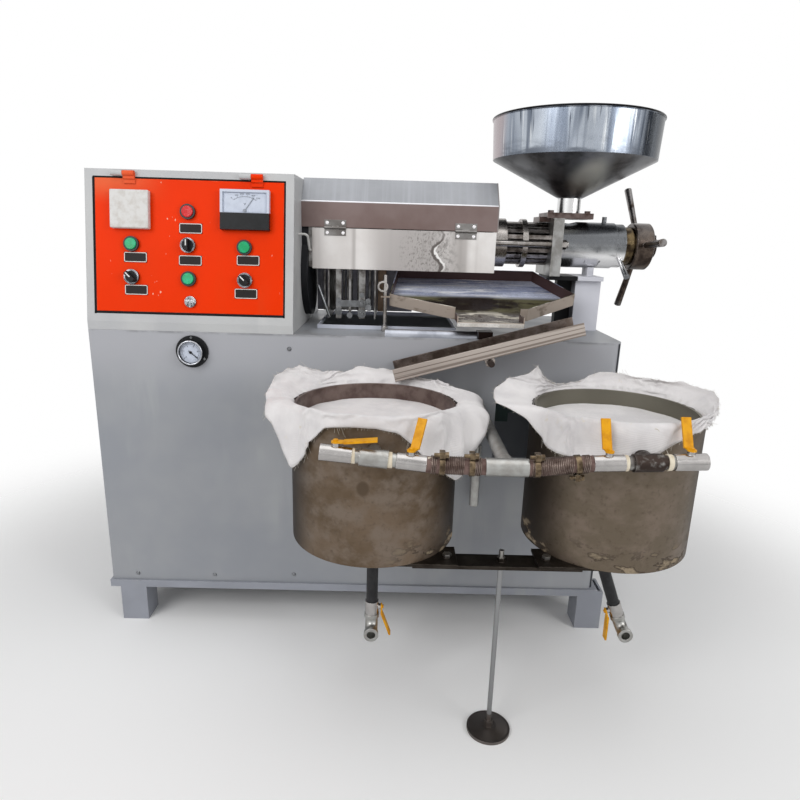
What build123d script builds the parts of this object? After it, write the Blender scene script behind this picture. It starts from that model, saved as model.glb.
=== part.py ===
from build123d import *
import math
import os

# Screw oil press with two vacuum filter barrels, millimetres, +Z up.
# While the pieces are drawn, X runs right from the body's left side, Y back from its front face
# and Z up from the floor.

# Body sizes
body_depth = 410.0
body_beyond_hopper = 83.0
housing_height = 550.0
foot_height = 80.0
foot_side = 56.0
rail_height = 16.0
rail_wall = 4.0
rail_leg = 34.0
sheet = 2.0
corner_radius = 25.0

# Control cabinet sizes
cabinet_width = 402.0
cabinet_height = 286.0
fold_rise = 17.0
front_lean = 9.6
door_margin = 18.0
door_low = 18.5
door_foot_margin = 11.5
door_gap = 1.5

# Press sizes
axis_over_deck = 185.0
casing_beyond_cabinet = 14.0
discharge_length = 174.0
cage_length = 341.0
shaft_radius = 15.0
worm_core = 24.0
worm_radius = 34.0
worm_turns = 8
bore_radius = 36.5
cage_ring_radius = 52.0
flange_thick = 22.0
flange_side = 120.0
flange_half_depth = 70.0
housing_radius = 49.0
housing_length = 125.0
sleeve_radius = 41.0
sleeve_length = 40.0
lock_thick = 20.0
hub_radius = 50.0
hub_thick = 40.0
handle_reach = 150.0
handle_lean = 6.0
tie_radius = 7.0
tie_offset = 59.5

# Hopper sizes
hopper_from_flange = 46.0
hopper_radius = 175.0
hopper_band = 81.0
hopper_cone = 76.0
hopper_neck = 43.0
neck_radius = 25.0
hopper_sheet = 1.5

# Oil tray and tipping chute sizes
tray_wall = 26.0
tray_under_axis = 125.0
tray_tilt = 17.75
tray_sheet = 2.0
chute_length = 360.0
chute_depth = 24.0
chute_width = 82.0
chute_tilt = 15.6
pin_from_cage = 192.0
pin_under_tray = 89.0
pin_to_chute = 9.0
chute_lug_radius = 9.0
pin_radius = 6.0

# Filter barrel sizes
barrel_radius = 141.0
barrel_wall = 3.0
barrel_height = 231.0
barrel_from_body = 64.0
barrel_left_of_pin = 209.0
barrel_right_of_pin = 199.0
barrel_under_chute = 9.27
plate_depth = 33.0
ring_wall = 4.0
cloth_thick = 1.6
cloth_drop = 70.0

# Vacuum pipework sizes
pipe_radius = 10.6
valve_radius = 12.5
tee_radius = 13.5
manifold_gap = 32.0
manifold_under_rim = 45.0
lever_width = 14.0
lever_thick = 2.5

# Clearances between pieces
running = 0.05
clear = 0.3
hole_clear = 0.3

# Derived sizes
housing_bottom = foot_height + rail_height
deck_height = housing_bottom + housing_height
fold_height = deck_height + fold_rise
cabinet_top = fold_height + cabinet_height
axis_y = body_depth / 2
axis_height = deck_height + axis_over_deck
casing_right = cabinet_width + casing_beyond_cabinet
cage_left = casing_right + discharge_length
flange_left = cage_left + cage_length
flange_right = flange_left + flange_thick
flange_top = axis_height + flange_side * 0.45
flange_low = flange_top - flange_side
housing_right = flange_right + housing_length
sleeve_right = housing_right + sleeve_length
hopper_x = flange_left + hopper_from_flange
hopper_rim = flange_top + hopper_neck + hopper_cone + hopper_band
body_width = hopper_x + body_beyond_hopper
tray_pitch = math.radians(tray_tilt)
tray_front_height = axis_height - tray_under_axis
pin_x = cage_left + pin_from_cage
pin_z = tray_front_height - pin_under_tray
chute_turned = math.radians(chute_tilt)
chute_drop = chute_length / 2 * math.sin(chute_turned) - pin_to_chute * math.cos(chute_turned)
barrel_top = pin_z - chute_drop - barrel_under_chute
barrel_bottom = barrel_top - barrel_height
barrel_y = -(barrel_radius + barrel_from_body)
barrel_left_x = pin_x - barrel_left_of_pin
barrel_right_x = pin_x + barrel_right_of_pin
plate_height = barrel_top - plate_depth
manifold_y = barrel_y - barrel_radius - manifold_gap
manifold_mid = barrel_top - manifold_under_rim


def block(x0, x1, y0, y1, z0, z1):
    """A box between two corners."""
    centre = ((x0 + x1) / 2, (y0 + y1) / 2, (z0 + z1) / 2)
    return Pos(*centre) * Box(x1 - x0, y1 - y0, z1 - z0)


def rod(start, end, radius, end_radius=None):
    """A round bar or a cone between two points."""
    start, end = Vector(*start), Vector(*end)
    line = end - start
    plane = Plane(origin=start, z_dir=line.normalized())
    if end_radius is None:
        shape = Cylinder(radius, line.length, align=(Align.CENTER, Align.CENTER, Align.MIN))
    else:
        shape = Cone(radius, end_radius, line.length, align=(Align.CENTER, Align.CENTER, Align.MIN))
    return plane * shape


def tube(start, end, outer, inner):
    """A round tube between two points."""
    return rod(start, end, outer) - rod(start, end, inner)


def hexagon_bar(start, end, across_corners):
    """A six-sided bar between two points, for bolt heads and nuts."""
    start, end = Vector(*start), Vector(*end)
    line = end - start
    plane = Plane(origin=start, z_dir=line.normalized())
    return extrude(plane * RegularPolygon(across_corners, 6), line.length)


def fused(shapes):
    """One solid from a list of touching shapes."""
    result = shapes[0]
    for shape in shapes[1:]:
        result = result + shape
    return result


pieces = {}


def keep(name, *shapes):
    """Store a piece, or a group of separate solids, under its name."""
    solids = []
    for shape in shapes:
        solids.extend(shape.solids())
    pieces[name] = solids


# Base frame: welded angle ring on four square feet
rail_out = 5.0
ring_low = block(-rail_out, body_width + rail_out, -rail_out, body_depth + rail_out,
                 foot_height, housing_bottom)
ring_low -= block(rail_wall - rail_out, body_width + rail_out - rail_wall, rail_wall - rail_out,
                  body_depth + rail_out - rail_wall, foot_height, housing_bottom - rail_wall)
ring_low -= block(rail_leg, body_width - rail_leg, rail_leg, body_depth - rail_leg,
                  foot_height, housing_bottom)
foot_wall = 5.0
frame_shapes = [ring_low]
right_foot_x = body_width - 38.0
for foot_x in (16.0, right_foot_x):
    for foot_y in (-rail_out, body_depth + rail_out - foot_side):
        foot = block(foot_x, foot_x + foot_side, foot_y, foot_y + foot_side, 0, housing_bottom - rail_wall)
        foot -= block(foot_x + foot_wall, foot_x + foot_side - foot_wall, foot_y + foot_wall,
                      foot_y + foot_side - foot_wall, foot_wall, housing_bottom - rail_wall)
        frame_shapes.append(foot)
keep("base_frame", fused(frame_shapes))

# Lower housing: folded sheet box with the deck as its top, open below
housing = block(0, body_width, 0, body_depth, housing_bottom, deck_height)
right_edges = housing.edges().filter_by(Axis.Z).filter_by_position(Axis.X, body_width - 1, body_width + 1)
housing = fillet(right_edges, corner_radius)
inside = block(sheet, body_width - sheet, sheet, body_depth - sheet, housing_bottom, deck_height - sheet)
inner_edges = inside.edges().filter_by(Axis.Z)
inner_edges = inner_edges.filter_by_position(Axis.X, body_width - 2 * sheet, body_width)
housing -= fillet(inner_edges, corner_radius - sheet)
deck_hole = (cabinet_width + 39, cage_left + 140, axis_y - 115, axis_y + 125)
lip_height = 9.0
lip = block(deck_hole[0] - sheet, deck_hole[1] + sheet, deck_hole[2] - sheet, deck_hole[3] + sheet,
            deck_height - sheet, deck_height + lip_height)
housing += lip
housing -= block(*deck_hole, deck_height - lip_height, deck_height + 2 * lip_height)
pump_x = pin_x - 12.5
service_hole = (pump_x + 42.5, pump_x + 160.5, manifold_mid - 123, manifold_mid + 32)
housing -= block(service_hole[0], service_hole[1], -sheet, 2 * sheet, service_hole[2], service_hole[3])
housing -= rod((pump_x, -sheet, manifold_mid), (pump_x, 2 * sheet, manifold_mid), pipe_radius + 1.0)
pin_front = -(chute_width + 18.0)
housing += rod((pin_x, sheet / 2, pin_z), (pin_x, pin_front, pin_z), pin_radius)
housing += rod((pin_x, sheet / 2, pin_z), (pin_x, -7, pin_z), 2 * pin_radius)
keep("lower_housing", housing)

# Upper cabinet: leaning front with the door opening, open below, gearbox hole on its right side
lean_y = (cabinet_top - fold_height) * math.tan(math.radians(front_lean))
profile = [(0, deck_height), (0, fold_height), (lean_y, cabinet_top), (body_depth, cabinet_top),
           (body_depth, deck_height)]
inner_profile = [(sheet, deck_height), (sheet, fold_height), (lean_y + sheet, cabinet_top - sheet),
                 (body_depth - sheet, cabinet_top - sheet), (body_depth - sheet, deck_height)]


def side_prism(points, x0, x1):
    """A prism along X from a profile given as Y and Z pairs."""
    plane = Plane(origin=(x0, 0, 0), x_dir=(0, 1, 0), z_dir=(1, 0, 0))
    return extrude(plane * make_face(Polyline(*points, close=True)), x1 - x0)


cabinet = side_prism(profile, 0, cabinet_width)
cabinet -= side_prism(inner_profile, sheet, cabinet_width - sheet)
lean = math.radians(front_lean)
front = Plane(origin=(0, 0, fold_height), x_dir=(1, 0, 0), z_dir=(0, -math.cos(lean), math.sin(lean)))


def on_front(x0, x1, v0, v1, n0, n1):
    """A box on the leaning front, in its across, up and outward distances."""
    return front * block(x0, x1, v0, v1, n0, n1)


def front_rod(x, v, n0, n1, radius):
    """A round bar that stands out of the leaning front."""
    return front * rod((x, v, n0), (x, v, n1), radius)


door_right = cabinet_width - door_margin
door_high = cabinet_height - door_foot_margin
cabinet -= on_front(door_margin, door_right, door_low, door_high, -10, 10)
casing_low_radius = 93.0
casing_high_radius = 72.0
casing_low_z = deck_height + casing_low_radius + 16
casing_hole = [rod((cabinet_width - 10, axis_y, casing_low_z), (cabinet_width + 10, axis_y, casing_low_z),
                   casing_low_radius + 1),
               rod((cabinet_width - 10, axis_y, axis_height), (cabinet_width + 10, axis_y, axis_height),
                   casing_high_radius + 1)]
cabinet -= fused(casing_hole)
knuckle_radius = 5.0
knuckle_length = 22.0
knuckle_v = door_high + 7.0
knuckle_n = knuckle_radius + 0.5
hinge_xs = (door_margin + 35, door_right - 86)
for hinge_x in hinge_xs:
    knuckle = front * rod((hinge_x, knuckle_v, knuckle_n), (hinge_x + knuckle_length, knuckle_v, knuckle_n),
                          knuckle_radius)
    strap = on_front(hinge_x, hinge_x + knuckle_length, knuckle_v, knuckle_v + 4, -1, knuckle_n)
    hinge_pin = front * rod((hinge_x, knuckle_v, knuckle_n),
                            (hinge_x + 2 * knuckle_length - 2, knuckle_v, knuckle_n), 2.5)
    cabinet += knuckle + strap + hinge_pin
keep("upper_cabinet", cabinet)

# Control door: folded panel hung from its top edge, with the hinge's other halves welded on
door_left_x, door_right_x = door_margin + door_gap, door_right - door_gap
door_v0, door_v1 = door_low + door_gap, door_high - door_gap
door = on_front(door_left_x, door_right_x, door_v0, door_v1, -12, 0)
door -= on_front(door_left_x + 1.5, door_right_x - 1.5, door_v0 + 1.5, door_v1 - 1.5, -13, -1.5)
for hinge_x in hinge_xs:
    half_x = hinge_x + knuckle_length + clear
    knuckle = front * rod((half_x, knuckle_v, knuckle_n), (half_x + knuckle_length, knuckle_v, knuckle_n),
                          knuckle_radius)
    arm = on_front(half_x, half_x + knuckle_length, door_v1 - 10, knuckle_v, 0, 2.5)
    arm += on_front(half_x, half_x + knuckle_length, door_v1 - 2, knuckle_v, 2.5, knuckle_n)
    knuckle += arm
    knuckle -= front * rod((half_x - 1, knuckle_v, knuckle_n),
                           (half_x + knuckle_length - 1, knuckle_v, knuckle_n), 2.5 + running)
    door += knuckle
lock_x, lock_v, lock_radius = cabinet_width / 2 + 1, door_low + 23, 8.0
door -= front_rod(lock_x, lock_v, -5, 5, lock_radius + running)
keep("control_door", door)

# Door lock: round face, barrel through the panel, and a tongue behind it
lock = front_rod(lock_x, lock_v, clear, 4, 11.0)
lock += front_rod(lock_x, lock_v, -11, clear, lock_radius)
lock += on_front(lock_x - 6, lock_x + 6, lock_v - 17, lock_v + 8, -11, -8.5)
lock -= on_front(lock_x - 5, lock_x + 5, lock_v - 1, lock_v + 1, 2.5, 5)
keep("door_lock", lock)

# Controller under its square cover, upper left on the door
left_column = door_margin + 71
mid_column = cabinet_width / 2 - 3
right_column = door_right - 76
controller = on_front(left_column - 37, left_column + 37, door_high - 96.5, door_high - 24.5, 0, 13)
controller = fillet(controller.edges().filter_by(GeomType.LINE), 2.5)
keep("controller", controller)

# Voltmeter: square case with a recessed dial, and its needle
meter_x0, meter_x1 = right_column - 46, right_column + 48
meter_v0, meter_v1 = door_high - 93.5, door_high - 18.5
meter_v_mid = meter_v0 + 32
meter = on_front(meter_x0, meter_x1, meter_v0, meter_v1, 0, 12)
meter -= on_front(meter_x0 + 5, meter_x1 - 5, meter_v_mid, meter_v1 - 5, 8, 13)
keep("voltmeter_case", meter)
meter_x = (meter_x0 + meter_x1) / 2
needle_v = meter_v_mid + 4
needle = front_rod(meter_x, needle_v, 8 + clear, 10.5, 3.0)
needle += front * (Pos(meter_x, needle_v, 9.4) * Rot(0, 0, 55) * Pos(15, 0, 0) * Box(30, 1.2, 0.8))
keep("voltmeter_needle", needle)

# Push buttons and selector switches: one ring each, with a cap or a knob that moves in it
ring_outer, cap_radius, ring_height = 14.5, 11.0, 6.0
cap_bottom, cap_top = 4.5, 8.5
top_row, mid_row, low_row = door_high - 61.5, door_low + 131, door_low + 67
button_places = {"red_button": (mid_column, top_row), "green_button_left": (left_column, mid_row),
                 "green_button_right": (right_column - 1, mid_row - 1),
                 "green_button_lower": (mid_column + 1, low_row)}
selector_places = {"selector_upper": (mid_column, mid_row, 0),
                   "selector_left": (left_column, low_row + 1, 45),
                   "selector_right": (right_column, low_row, 45)}
rings = []
for place in list(button_places.values()) + list(selector_places.values()):
    ring = front_rod(place[0], place[1], 0, ring_height, ring_outer)
    rings.append(ring - front_rod(place[0], place[1], 1, ring_height + 1, cap_radius + running))
keep("switch_rings", *rings)
for name, (x, v) in button_places.items():
    cap = front_rod(x, v, cap_bottom, cap_top, cap_radius)
    keep(name, fillet(cap.edges().filter_by(GeomType.CIRCLE).sort_by(Axis.Y)[0:1], 1.2))
for name, (x, v, turn) in selector_places.items():
    knob = front_rod(x, v, 1 + clear, ring_height + 1, cap_radius)
    grip = Pos(x, v, ring_height + 6) * Rot(0, 0, turn) * Box(7, 2 * cap_radius, 11)
    keep(name, knob + front * grip)

# Label plates below the switches
label_places = ((mid_column + 5, top_row - 31), (left_column + 7, mid_row - 25),
                (mid_column + 4, mid_row - 28.5), (right_column + 6, mid_row - 25.5),
                (left_column + 8, low_row - 23.5), (right_column + 2, low_row - 25.5))
keep("label_plates", *[on_front(x - 22, x + 22, v - 9.5, v + 9.5, 0, 1.2) for x, v in label_places])

# Vacuum gauge on the lower housing: flanged case with a recessed dial, and its needle
gauge_x, gauge_z = cabinet_width / 2 + 1, deck_height - 39
gauge = rod((gauge_x, 0, gauge_z), (gauge_x, -3, gauge_z), 32.0)
gauge += rod((gauge_x, -3, gauge_z), (gauge_x, -16, gauge_z), 24.0)
gauge -= rod((gauge_x, -11, gauge_z), (gauge_x, -17, gauge_z), 21.5)
keep("gauge_case", gauge)
hand = rod((gauge_x, -11 - clear, gauge_z), (gauge_x, -13.5, gauge_z), 2.5)
hand += Pos(gauge_x, -12.5, gauge_z) * Rot(0, 40, 0) * Pos(6, 0, 0) * Box(22, 0.8, 1.4)
keep("gauge_needle", hand)

# Screws: panel screws on the front and the gauge's three fixing screws
screws = []
low_screw_z = housing_bottom + 15
for x, z in ((cabinet_width - 8, deck_height - 29), (55, low_screw_z), (gauge_x + 20, low_screw_z),
             (cabinet_width - 7, low_screw_z + 5)):
    screws.append(rod((x, 0, z), (x, -2.5, z), 4.5, 3.0))
for turn in (90, 210, 330):
    x = gauge_x + 28 * math.cos(math.radians(turn))
    z = gauge_z + 28 * math.sin(math.radians(turn))
    screws.append(rod((x, -3, z), (x, -5, z), 2.4))
keep("panel_screws", *screws)

# Hood over the press cage, folded sheet open at both ends and below
hood_right = cage_left + 224
hood_half = 74.0
hood_low, hood_band, hood_top = axis_height + 22, axis_height + 74, axis_height + 122
hood_sheet = 1.6
hood_outer = [(axis_y - hood_half, hood_low), (axis_y - hood_half, hood_band), (axis_y - 33, hood_top),
              (axis_y + 33, hood_top), (axis_y + hood_half, hood_band), (axis_y + hood_half, hood_low)]
inset = hood_half - hood_sheet
inner_band, inner_top, top_half = hood_band - 0.5, hood_top - hood_sheet, 32.2
hood_inner = [(axis_y - inset, hood_low), (axis_y - inset, inner_band), (axis_y - top_half, inner_top),
              (axis_y + top_half, inner_top), (axis_y + inset, inner_band), (axis_y + inset, hood_low)]
hood = side_prism(hood_outer, cabinet_width, hood_right)
hood -= side_prism(hood_inner, cabinet_width, hood_right)
keep("hood", hood)

# Guard flap: flat plate hung below the hood's front on two butt hinges
flap_left, flap_right, flap_low = cabinet_width + 22, hood_right - 3, axis_height - 63
flap_top = hood_low - 1.5
flap_y = axis_y - hood_half
keep("guard_flap", block(flap_left, flap_right, flap_y, flap_y + hood_sheet, flap_low, flap_top))
leaf_thick = 1.6
hinge_y = flap_y - 3.5
hinge_z = hood_low - 0.75
flap_hinge_xs = ((flap_left + 26, flap_left + 71), (flap_right - 87, flap_right - 42))
fixed_leaves, moving_leaves = [], []
for x0, x1 in flap_hinge_xs:
    third = (x1 - x0) / 3
    mid0, mid1 = x0 + third + clear, x0 + 2 * third - clear
    fixed = block(x0, x1, flap_y - leaf_thick, flap_y, hinge_z + 3.5, hinge_z + 16)
    fixed += block(mid0, mid1, hinge_y, flap_y - leaf_thick, hinge_z, hinge_z + 3.6)
    fixed += block(mid0, mid1, flap_y - leaf_thick - 0.1, flap_y, hinge_z + 2, hinge_z + 3.6)
    fixed += rod((mid0, hinge_y, hinge_z), (mid1, hinge_y, hinge_z), 3.0)
    fixed += rod((x0 + 0.5, hinge_y, hinge_z), (x1 - 0.5, hinge_y, hinge_z), 1.2)
    moving = block(x0, x1, flap_y - leaf_thick, flap_y, hinge_z - 16, hinge_z - 3.5)
    for k0, k1 in ((x0, x0 + third), (x0 + 2 * third, x1)):
        moving += rod((k0, hinge_y, hinge_z), (k1, hinge_y, hinge_z), 3.0)
        moving += block(k0, k1, hinge_y, flap_y - leaf_thick, hinge_z - 3.6, hinge_z)
        moving += block(k0, k1, flap_y - leaf_thick - 0.1, flap_y, hinge_z - 3.6, hinge_z - 2)
    moving -= rod((x0 - 1, hinge_y, hinge_z), (x1 + 1, hinge_y, hinge_z), 1.2 + running)
    leaf_y = flap_y - leaf_thick
    for sx in (x0 + 6, x1 - 6):
        fixed += rod((sx, leaf_y, hinge_z + 10), (sx, leaf_y - 1.5, hinge_z + 10), 2.6)
        moving += rod((sx, leaf_y, hinge_z - 10), (sx, leaf_y - 1.5, hinge_z - 10), 2.6)
    fixed_leaves.append(fixed)
    moving_leaves.append(moving)
keep("hood_hinge_leaves", *fixed_leaves)
keep("flap_hinge_leaves", *moving_leaves)

# Gear motor inside the cabinet: gearbox casing through the cabinet's side, and the motor behind it
casing_left = casing_right - 116
casing = rod((casing_left, axis_y, casing_low_z), (casing_right, axis_y, casing_low_z), casing_low_radius)
casing += rod((casing_left, axis_y, axis_height), (casing_right, axis_y, axis_height), casing_high_radius)
casing -= rod((casing_right - 40, axis_y, axis_height), (casing_right + 1, axis_y, axis_height),
              shaft_radius + running)
motor_left = casing_left - 220
motor = rod((motor_left, axis_y, casing_low_z), (casing_left, axis_y, casing_low_z), 78.0)
motor += block(motor_left + 50, motor_left + 140, axis_y - 40, axis_y + 40, casing_low_z + 60,
               casing_low_z + 110)
motor += block(motor_left + 20, casing_left - 20, axis_y - 70, axis_y + 70, deck_height, casing_low_z - 40)
keep("gear_motor", casing, motor)

# Vacuum pump inside the housing, on the deck's underside bracket
pump_y, pump_z = axis_y - 55, manifold_mid - 18
pump = block(pump_x - 60, pump_x + 90, pump_y - 40, pump_y + 60, pump_z - 60, pump_z + 60)
pump += block(pump_x - 30, pump_x + 90, pump_y - 40, pump_y + 60, pump_z + 60, deck_height - sheet)
pump += rod((pump_x + 90, pump_y + 10, pump_z), (pump_x + 230, pump_y + 10, pump_z), 52.0)
keep("vacuum_pump", pump)

# Press screw: shaft, worm core and helical flight
screw_left, screw_right = casing_right - 38, housing_right + 10
worm_left, worm_right = cage_left + 10, housing_right - 100
worm_pitch = (worm_right - worm_left) / worm_turns
screw = rod((screw_left, axis_y, axis_height), (screw_right, axis_y, axis_height), shaft_radius)
screw += rod((worm_left, axis_y, axis_height), (worm_right + 20, axis_y, axis_height), worm_core)
flight_base = worm_core - 1.0
helix = Helix(pitch=worm_pitch, height=worm_right - worm_left, radius=flight_base)
flight_plane = Plane(origin=helix @ 0, z_dir=helix % 0, x_dir=(1, 0, 0))
flight_tall, flight_wide = worm_radius - flight_base, 8.0
flight_section = flight_plane * Pos(flight_tall / 2, 0) * Rectangle(flight_tall, flight_wide)
flight = sweep(flight_section, path=helix, is_frenet=True)
screw_frame = Plane(origin=(worm_left + 10, axis_y, axis_height), z_dir=(1, 0, 0))
screw += screw_frame * flight
keep("press_screw", screw)

# Press cage: bars round the worm, and the rings that clamp them
bar_count = 20
bar_inner, bar_outer, bar_wide = 36.5, 45.5, 9.0
bars = []
for index in range(bar_count):
    bar = block(cage_left, flange_left, -bar_wide / 2, bar_wide / 2, bar_inner, bar_outer)
    bars.append(Pos(0, axis_y, axis_height) * Rot(360 / bar_count * index, 0, 0) * bar)
keep("cage_bars", *bars)
ring_inner = math.hypot(bar_outer, bar_wide / 2) + clear
thin_ring, wide_ring = 11.0, 60.0
cage_ring_spans = ((cage_left + 10, thin_ring), (cage_left + 60, thin_ring), (cage_left + 110, thin_ring),
                   (flange_left - 152, wide_ring), (flange_left - 58, thin_ring))
cage_rings = []
for x0, width in cage_ring_spans:
    start, end = (x0, axis_y, axis_height), (x0 + width, axis_y, axis_height)
    cage_rings.append(tube(start, end, cage_ring_radius, ring_inner))
keep("cage_rings", *cage_rings)

# Discharge frame between gearbox and cage: two plates, corner stays, guide plates down to the deck opening
plate_half = 60.0
plate_spans = ((casing_right, casing_right + 12), (cage_left - 14, cage_left))
frame = None
for x0, x1 in plate_spans:
    plate = block(x0, x1, axis_y - flange_half_depth, axis_y + flange_half_depth,
                  axis_height - plate_half, axis_height + plate_half)
    plate -= rod((x0 - 1, axis_y, axis_height), (x1 + 1, axis_y, axis_height), bore_radius)
    frame = plate if frame is None else frame + plate
stay = plate_half - 12
for dy in (-stay, stay):
    for dz in (-stay, stay):
        frame += rod((casing_right + 6, axis_y + dy, axis_height + dz),
                     (cage_left - 7, axis_y + dy, axis_height + dz), 7.0)
guide_top = axis_height - stay + 9
for x0, width in ((39, 3), (140, 3)):
    frame += block(casing_right + x0, casing_right + x0 + width, axis_y - 54, axis_y + 54,
                   deck_height + 14, guide_top)
for x0, width in ((56, 12), (84, 5), (106, 14)):
    frame += block(casing_right + x0, casing_right + x0 + width, axis_y - stay - 4, axis_y - stay + 4,
                   deck_height + 14, guide_top)
for dy in (-tie_offset, tie_offset):
    frame -= rod((cage_left - 20, axis_y + dy, axis_height), (cage_left + 20, axis_y + dy, axis_height),
                 tie_radius + hole_clear)
keep("discharge_frame", frame)

# Feed flange at the cage's right end
feed_hole_radius = neck_radius - 5
flange = block(flange_left, flange_right, axis_y - flange_half_depth, axis_y + flange_half_depth,
               flange_low, flange_top)
flange -= rod((flange_left - 1, axis_y, axis_height), (flange_right + 1, axis_y, axis_height), bore_radius)
feed_hole = rod((hopper_x, axis_y, axis_height), (hopper_x, axis_y, hopper_rim), feed_hole_radius)
flange -= feed_hole
for dy in (-tie_offset, tie_offset):
    flange -= rod((flange_left - 1, axis_y + dy, axis_height), (flange_right + 1, axis_y + dy, axis_height),
                  tie_radius + hole_clear)
keep("feed_flange", flange)

# Tie rods with their nuts, and the threaded rod that carries the tray's left corner
ties = []
tie_left = cage_left - 14
nut_corner, nut_thick = 10.0, 10.0
for dy in (-tie_offset, tie_offset):
    y = axis_y + dy
    tie = rod((tie_left - nut_thick - 4, y, axis_height), (flange_right + nut_thick + 4, y, axis_height),
              tie_radius)
    tie += hexagon_bar((tie_left - nut_thick, y, axis_height), (tie_left, y, axis_height), nut_corner)
    tie += hexagon_bar((flange_right, y, axis_height), (flange_right + nut_thick, y, axis_height),
                       nut_corner)
    ties.append(tie)
tray_left_x, tray_left_y = pin_x - 192, axis_y - 130
tray_rod_x, tray_rod_radius = tray_left_x - 9, 4.0
tray_rim_left = tray_front_height + (tray_left_y - 20) * math.tan(tray_pitch)
tray_rod = rod((tray_rod_x, tray_left_y, deck_height + lip_height),
               (tray_rod_x, tray_left_y, tray_front_height + 56), tray_rod_radius)
tray_rod += hexagon_bar((tray_rod_x, tray_left_y, deck_height), (tray_rod_x, tray_left_y,
                        deck_height + lip_height + 1), 7.5)
tray_rod += tube((tray_rod_x - 5, tray_left_y - 7, tray_rim_left + 15),
                 (tray_rod_x - 5, tray_left_y + 7, tray_rim_left + 15), 11, 7.5)
keep("tie_rods", *ties, tray_rod)

# Feed housing: cylinder with the bore, feed opening on top and a small bolt
feed = tube((flange_right, axis_y, axis_height), (housing_right, axis_y, axis_height), housing_radius,
            bore_radius)
grease_x = housing_right - 20
feed += rod((grease_x, axis_y, axis_height + housing_radius - 3),
            (grease_x, axis_y, axis_height + housing_radius + 12), 5.0)
feed -= rod((grease_x, axis_y, axis_height), (grease_x, axis_y, axis_height + bore_radius), 6.0)
feed -= feed_hole
keep("feed_housing", feed)

# Choke sleeve: slides in the housing bore, holds the shaft's end and the hub's stub
sleeve = rod((housing_right - 60, axis_y, axis_height), (housing_right + clear, axis_y, axis_height),
             bore_radius - running)
sleeve += rod((housing_right + clear, axis_y, axis_height), (sleeve_right, axis_y, axis_height),
              sleeve_radius)
sleeve -= rod((housing_right - 61, axis_y, axis_height), (screw_right + 2, axis_y, axis_height),
              shaft_radius + running)
stub_radius, stub_left = 12.0, screw_right + 12
sleeve -= rod((stub_left - 2, axis_y, axis_height), (sleeve_right + 1, axis_y, axis_height),
              stub_radius + running)
keep("choke_sleeve", sleeve)

# Lock ring round the sleeve, with its one short handle
lock_left, lock_right = housing_right + clear, housing_right + lock_thick
ring = tube((lock_left, axis_y, axis_height), (lock_right, axis_y, axis_height), housing_radius - 2.5,
            sleeve_radius + running)
lock_mid = (lock_left + lock_right) / 2
lock_turn = math.radians(36)


def around(x, radius, turn):
    """A point at a radius from the press axis, turned from the viewer's side towards the top."""
    return (x, axis_y - radius * math.cos(turn), axis_height + radius * math.sin(turn))


lock_reach = 106.0
ring += rod(around(lock_mid, sleeve_radius + 2, -lock_turn), around(lock_mid + 3, lock_reach, -lock_turn),
            5.0, 6.5)
keep("lock_ring", ring)

# Adjusting hub with its end cap and three tapered handles
hub_left = sleeve_right + clear
hub_right = hub_left + hub_thick
hub = rod((hub_left, axis_y, axis_height), (hub_right, axis_y, axis_height), hub_radius)
hub = chamfer(hub.edges().filter_by(GeomType.CIRCLE), 2.5)
hub += rod((stub_left, axis_y, axis_height), (hub_left + 1, axis_y, axis_height), stub_radius)
hub += rod((hub_right - 1, axis_y, axis_height), (hub_right + 14, axis_y, axis_height), 26.0, 24.0)
for turn in (0.6, 0.6 + math.pi):
    x, y, z = around(hub_right, 36, turn)
    hub += rod((x - 1, y, z), (x + 6, y, z), 5.0)
hub_mid = (hub_left + hub_right) / 2
for degrees in (4, 124, 244):
    turn = math.radians(degrees)
    handle = rod(around(hub_mid, hub_radius - 8, turn), around(hub_mid - handle_lean, handle_reach, turn),
                 6.0, 8.0)
    hub += handle
keep("adjusting_hub", hub)

# Support post on the deck: base plate under the flange, grey column and dark web
seat_top = flange_low
post = block(hopper_x + 20, hopper_x + 76, axis_y - 40, axis_y + 30, deck_height, seat_top - 9)
post += block(flange_left + 4, hopper_x + 76, axis_y - 55, axis_y + 50, seat_top - 9, seat_top)
post += block(hopper_x - 13, hopper_x + 20, axis_y - 12, axis_y + 12, deck_height, seat_top - 9)
post += block(housing_right - 52, housing_right - 38, axis_y - 20, axis_y + 20, seat_top,
              axis_height - housing_radius + 2)
post -= rod((flange_right, axis_y, axis_height), (housing_right, axis_y, axis_height), housing_radius)
keep("support_post", post)

# Hopper: turned sheet bowl with a rolled rim, cone and neck
band_low = hopper_rim - hopper_band
cone_low = band_low - hopper_cone
neck_low = flange_top
band_radius = hopper_radius - 4
outer_line = [(hopper_radius, hopper_rim), (band_radius, band_low), (neck_radius, cone_low),
              (neck_radius, neck_low)]
inner_line = [(neck_radius - hopper_sheet, neck_low), (neck_radius - hopper_sheet, cone_low + 1),
              (band_radius - hopper_sheet, band_low + 0.8), (hopper_radius - hopper_sheet, hopper_rim)]
hopper_plane = Plane(origin=(hopper_x, axis_y, 0), x_dir=(1, 0, 0), z_dir=(0, -1, 0))
hopper = revolve(hopper_plane * make_face(Polyline(*outer_line, *inner_line, close=True)),
                 Axis((hopper_x, axis_y, 0), (0, 0, 1)), 360)
hopper += Pos(hopper_x, axis_y, hopper_rim) * Torus(hopper_radius - hopper_sheet / 2, 3.0)
keep("hopper", hopper)

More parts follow.
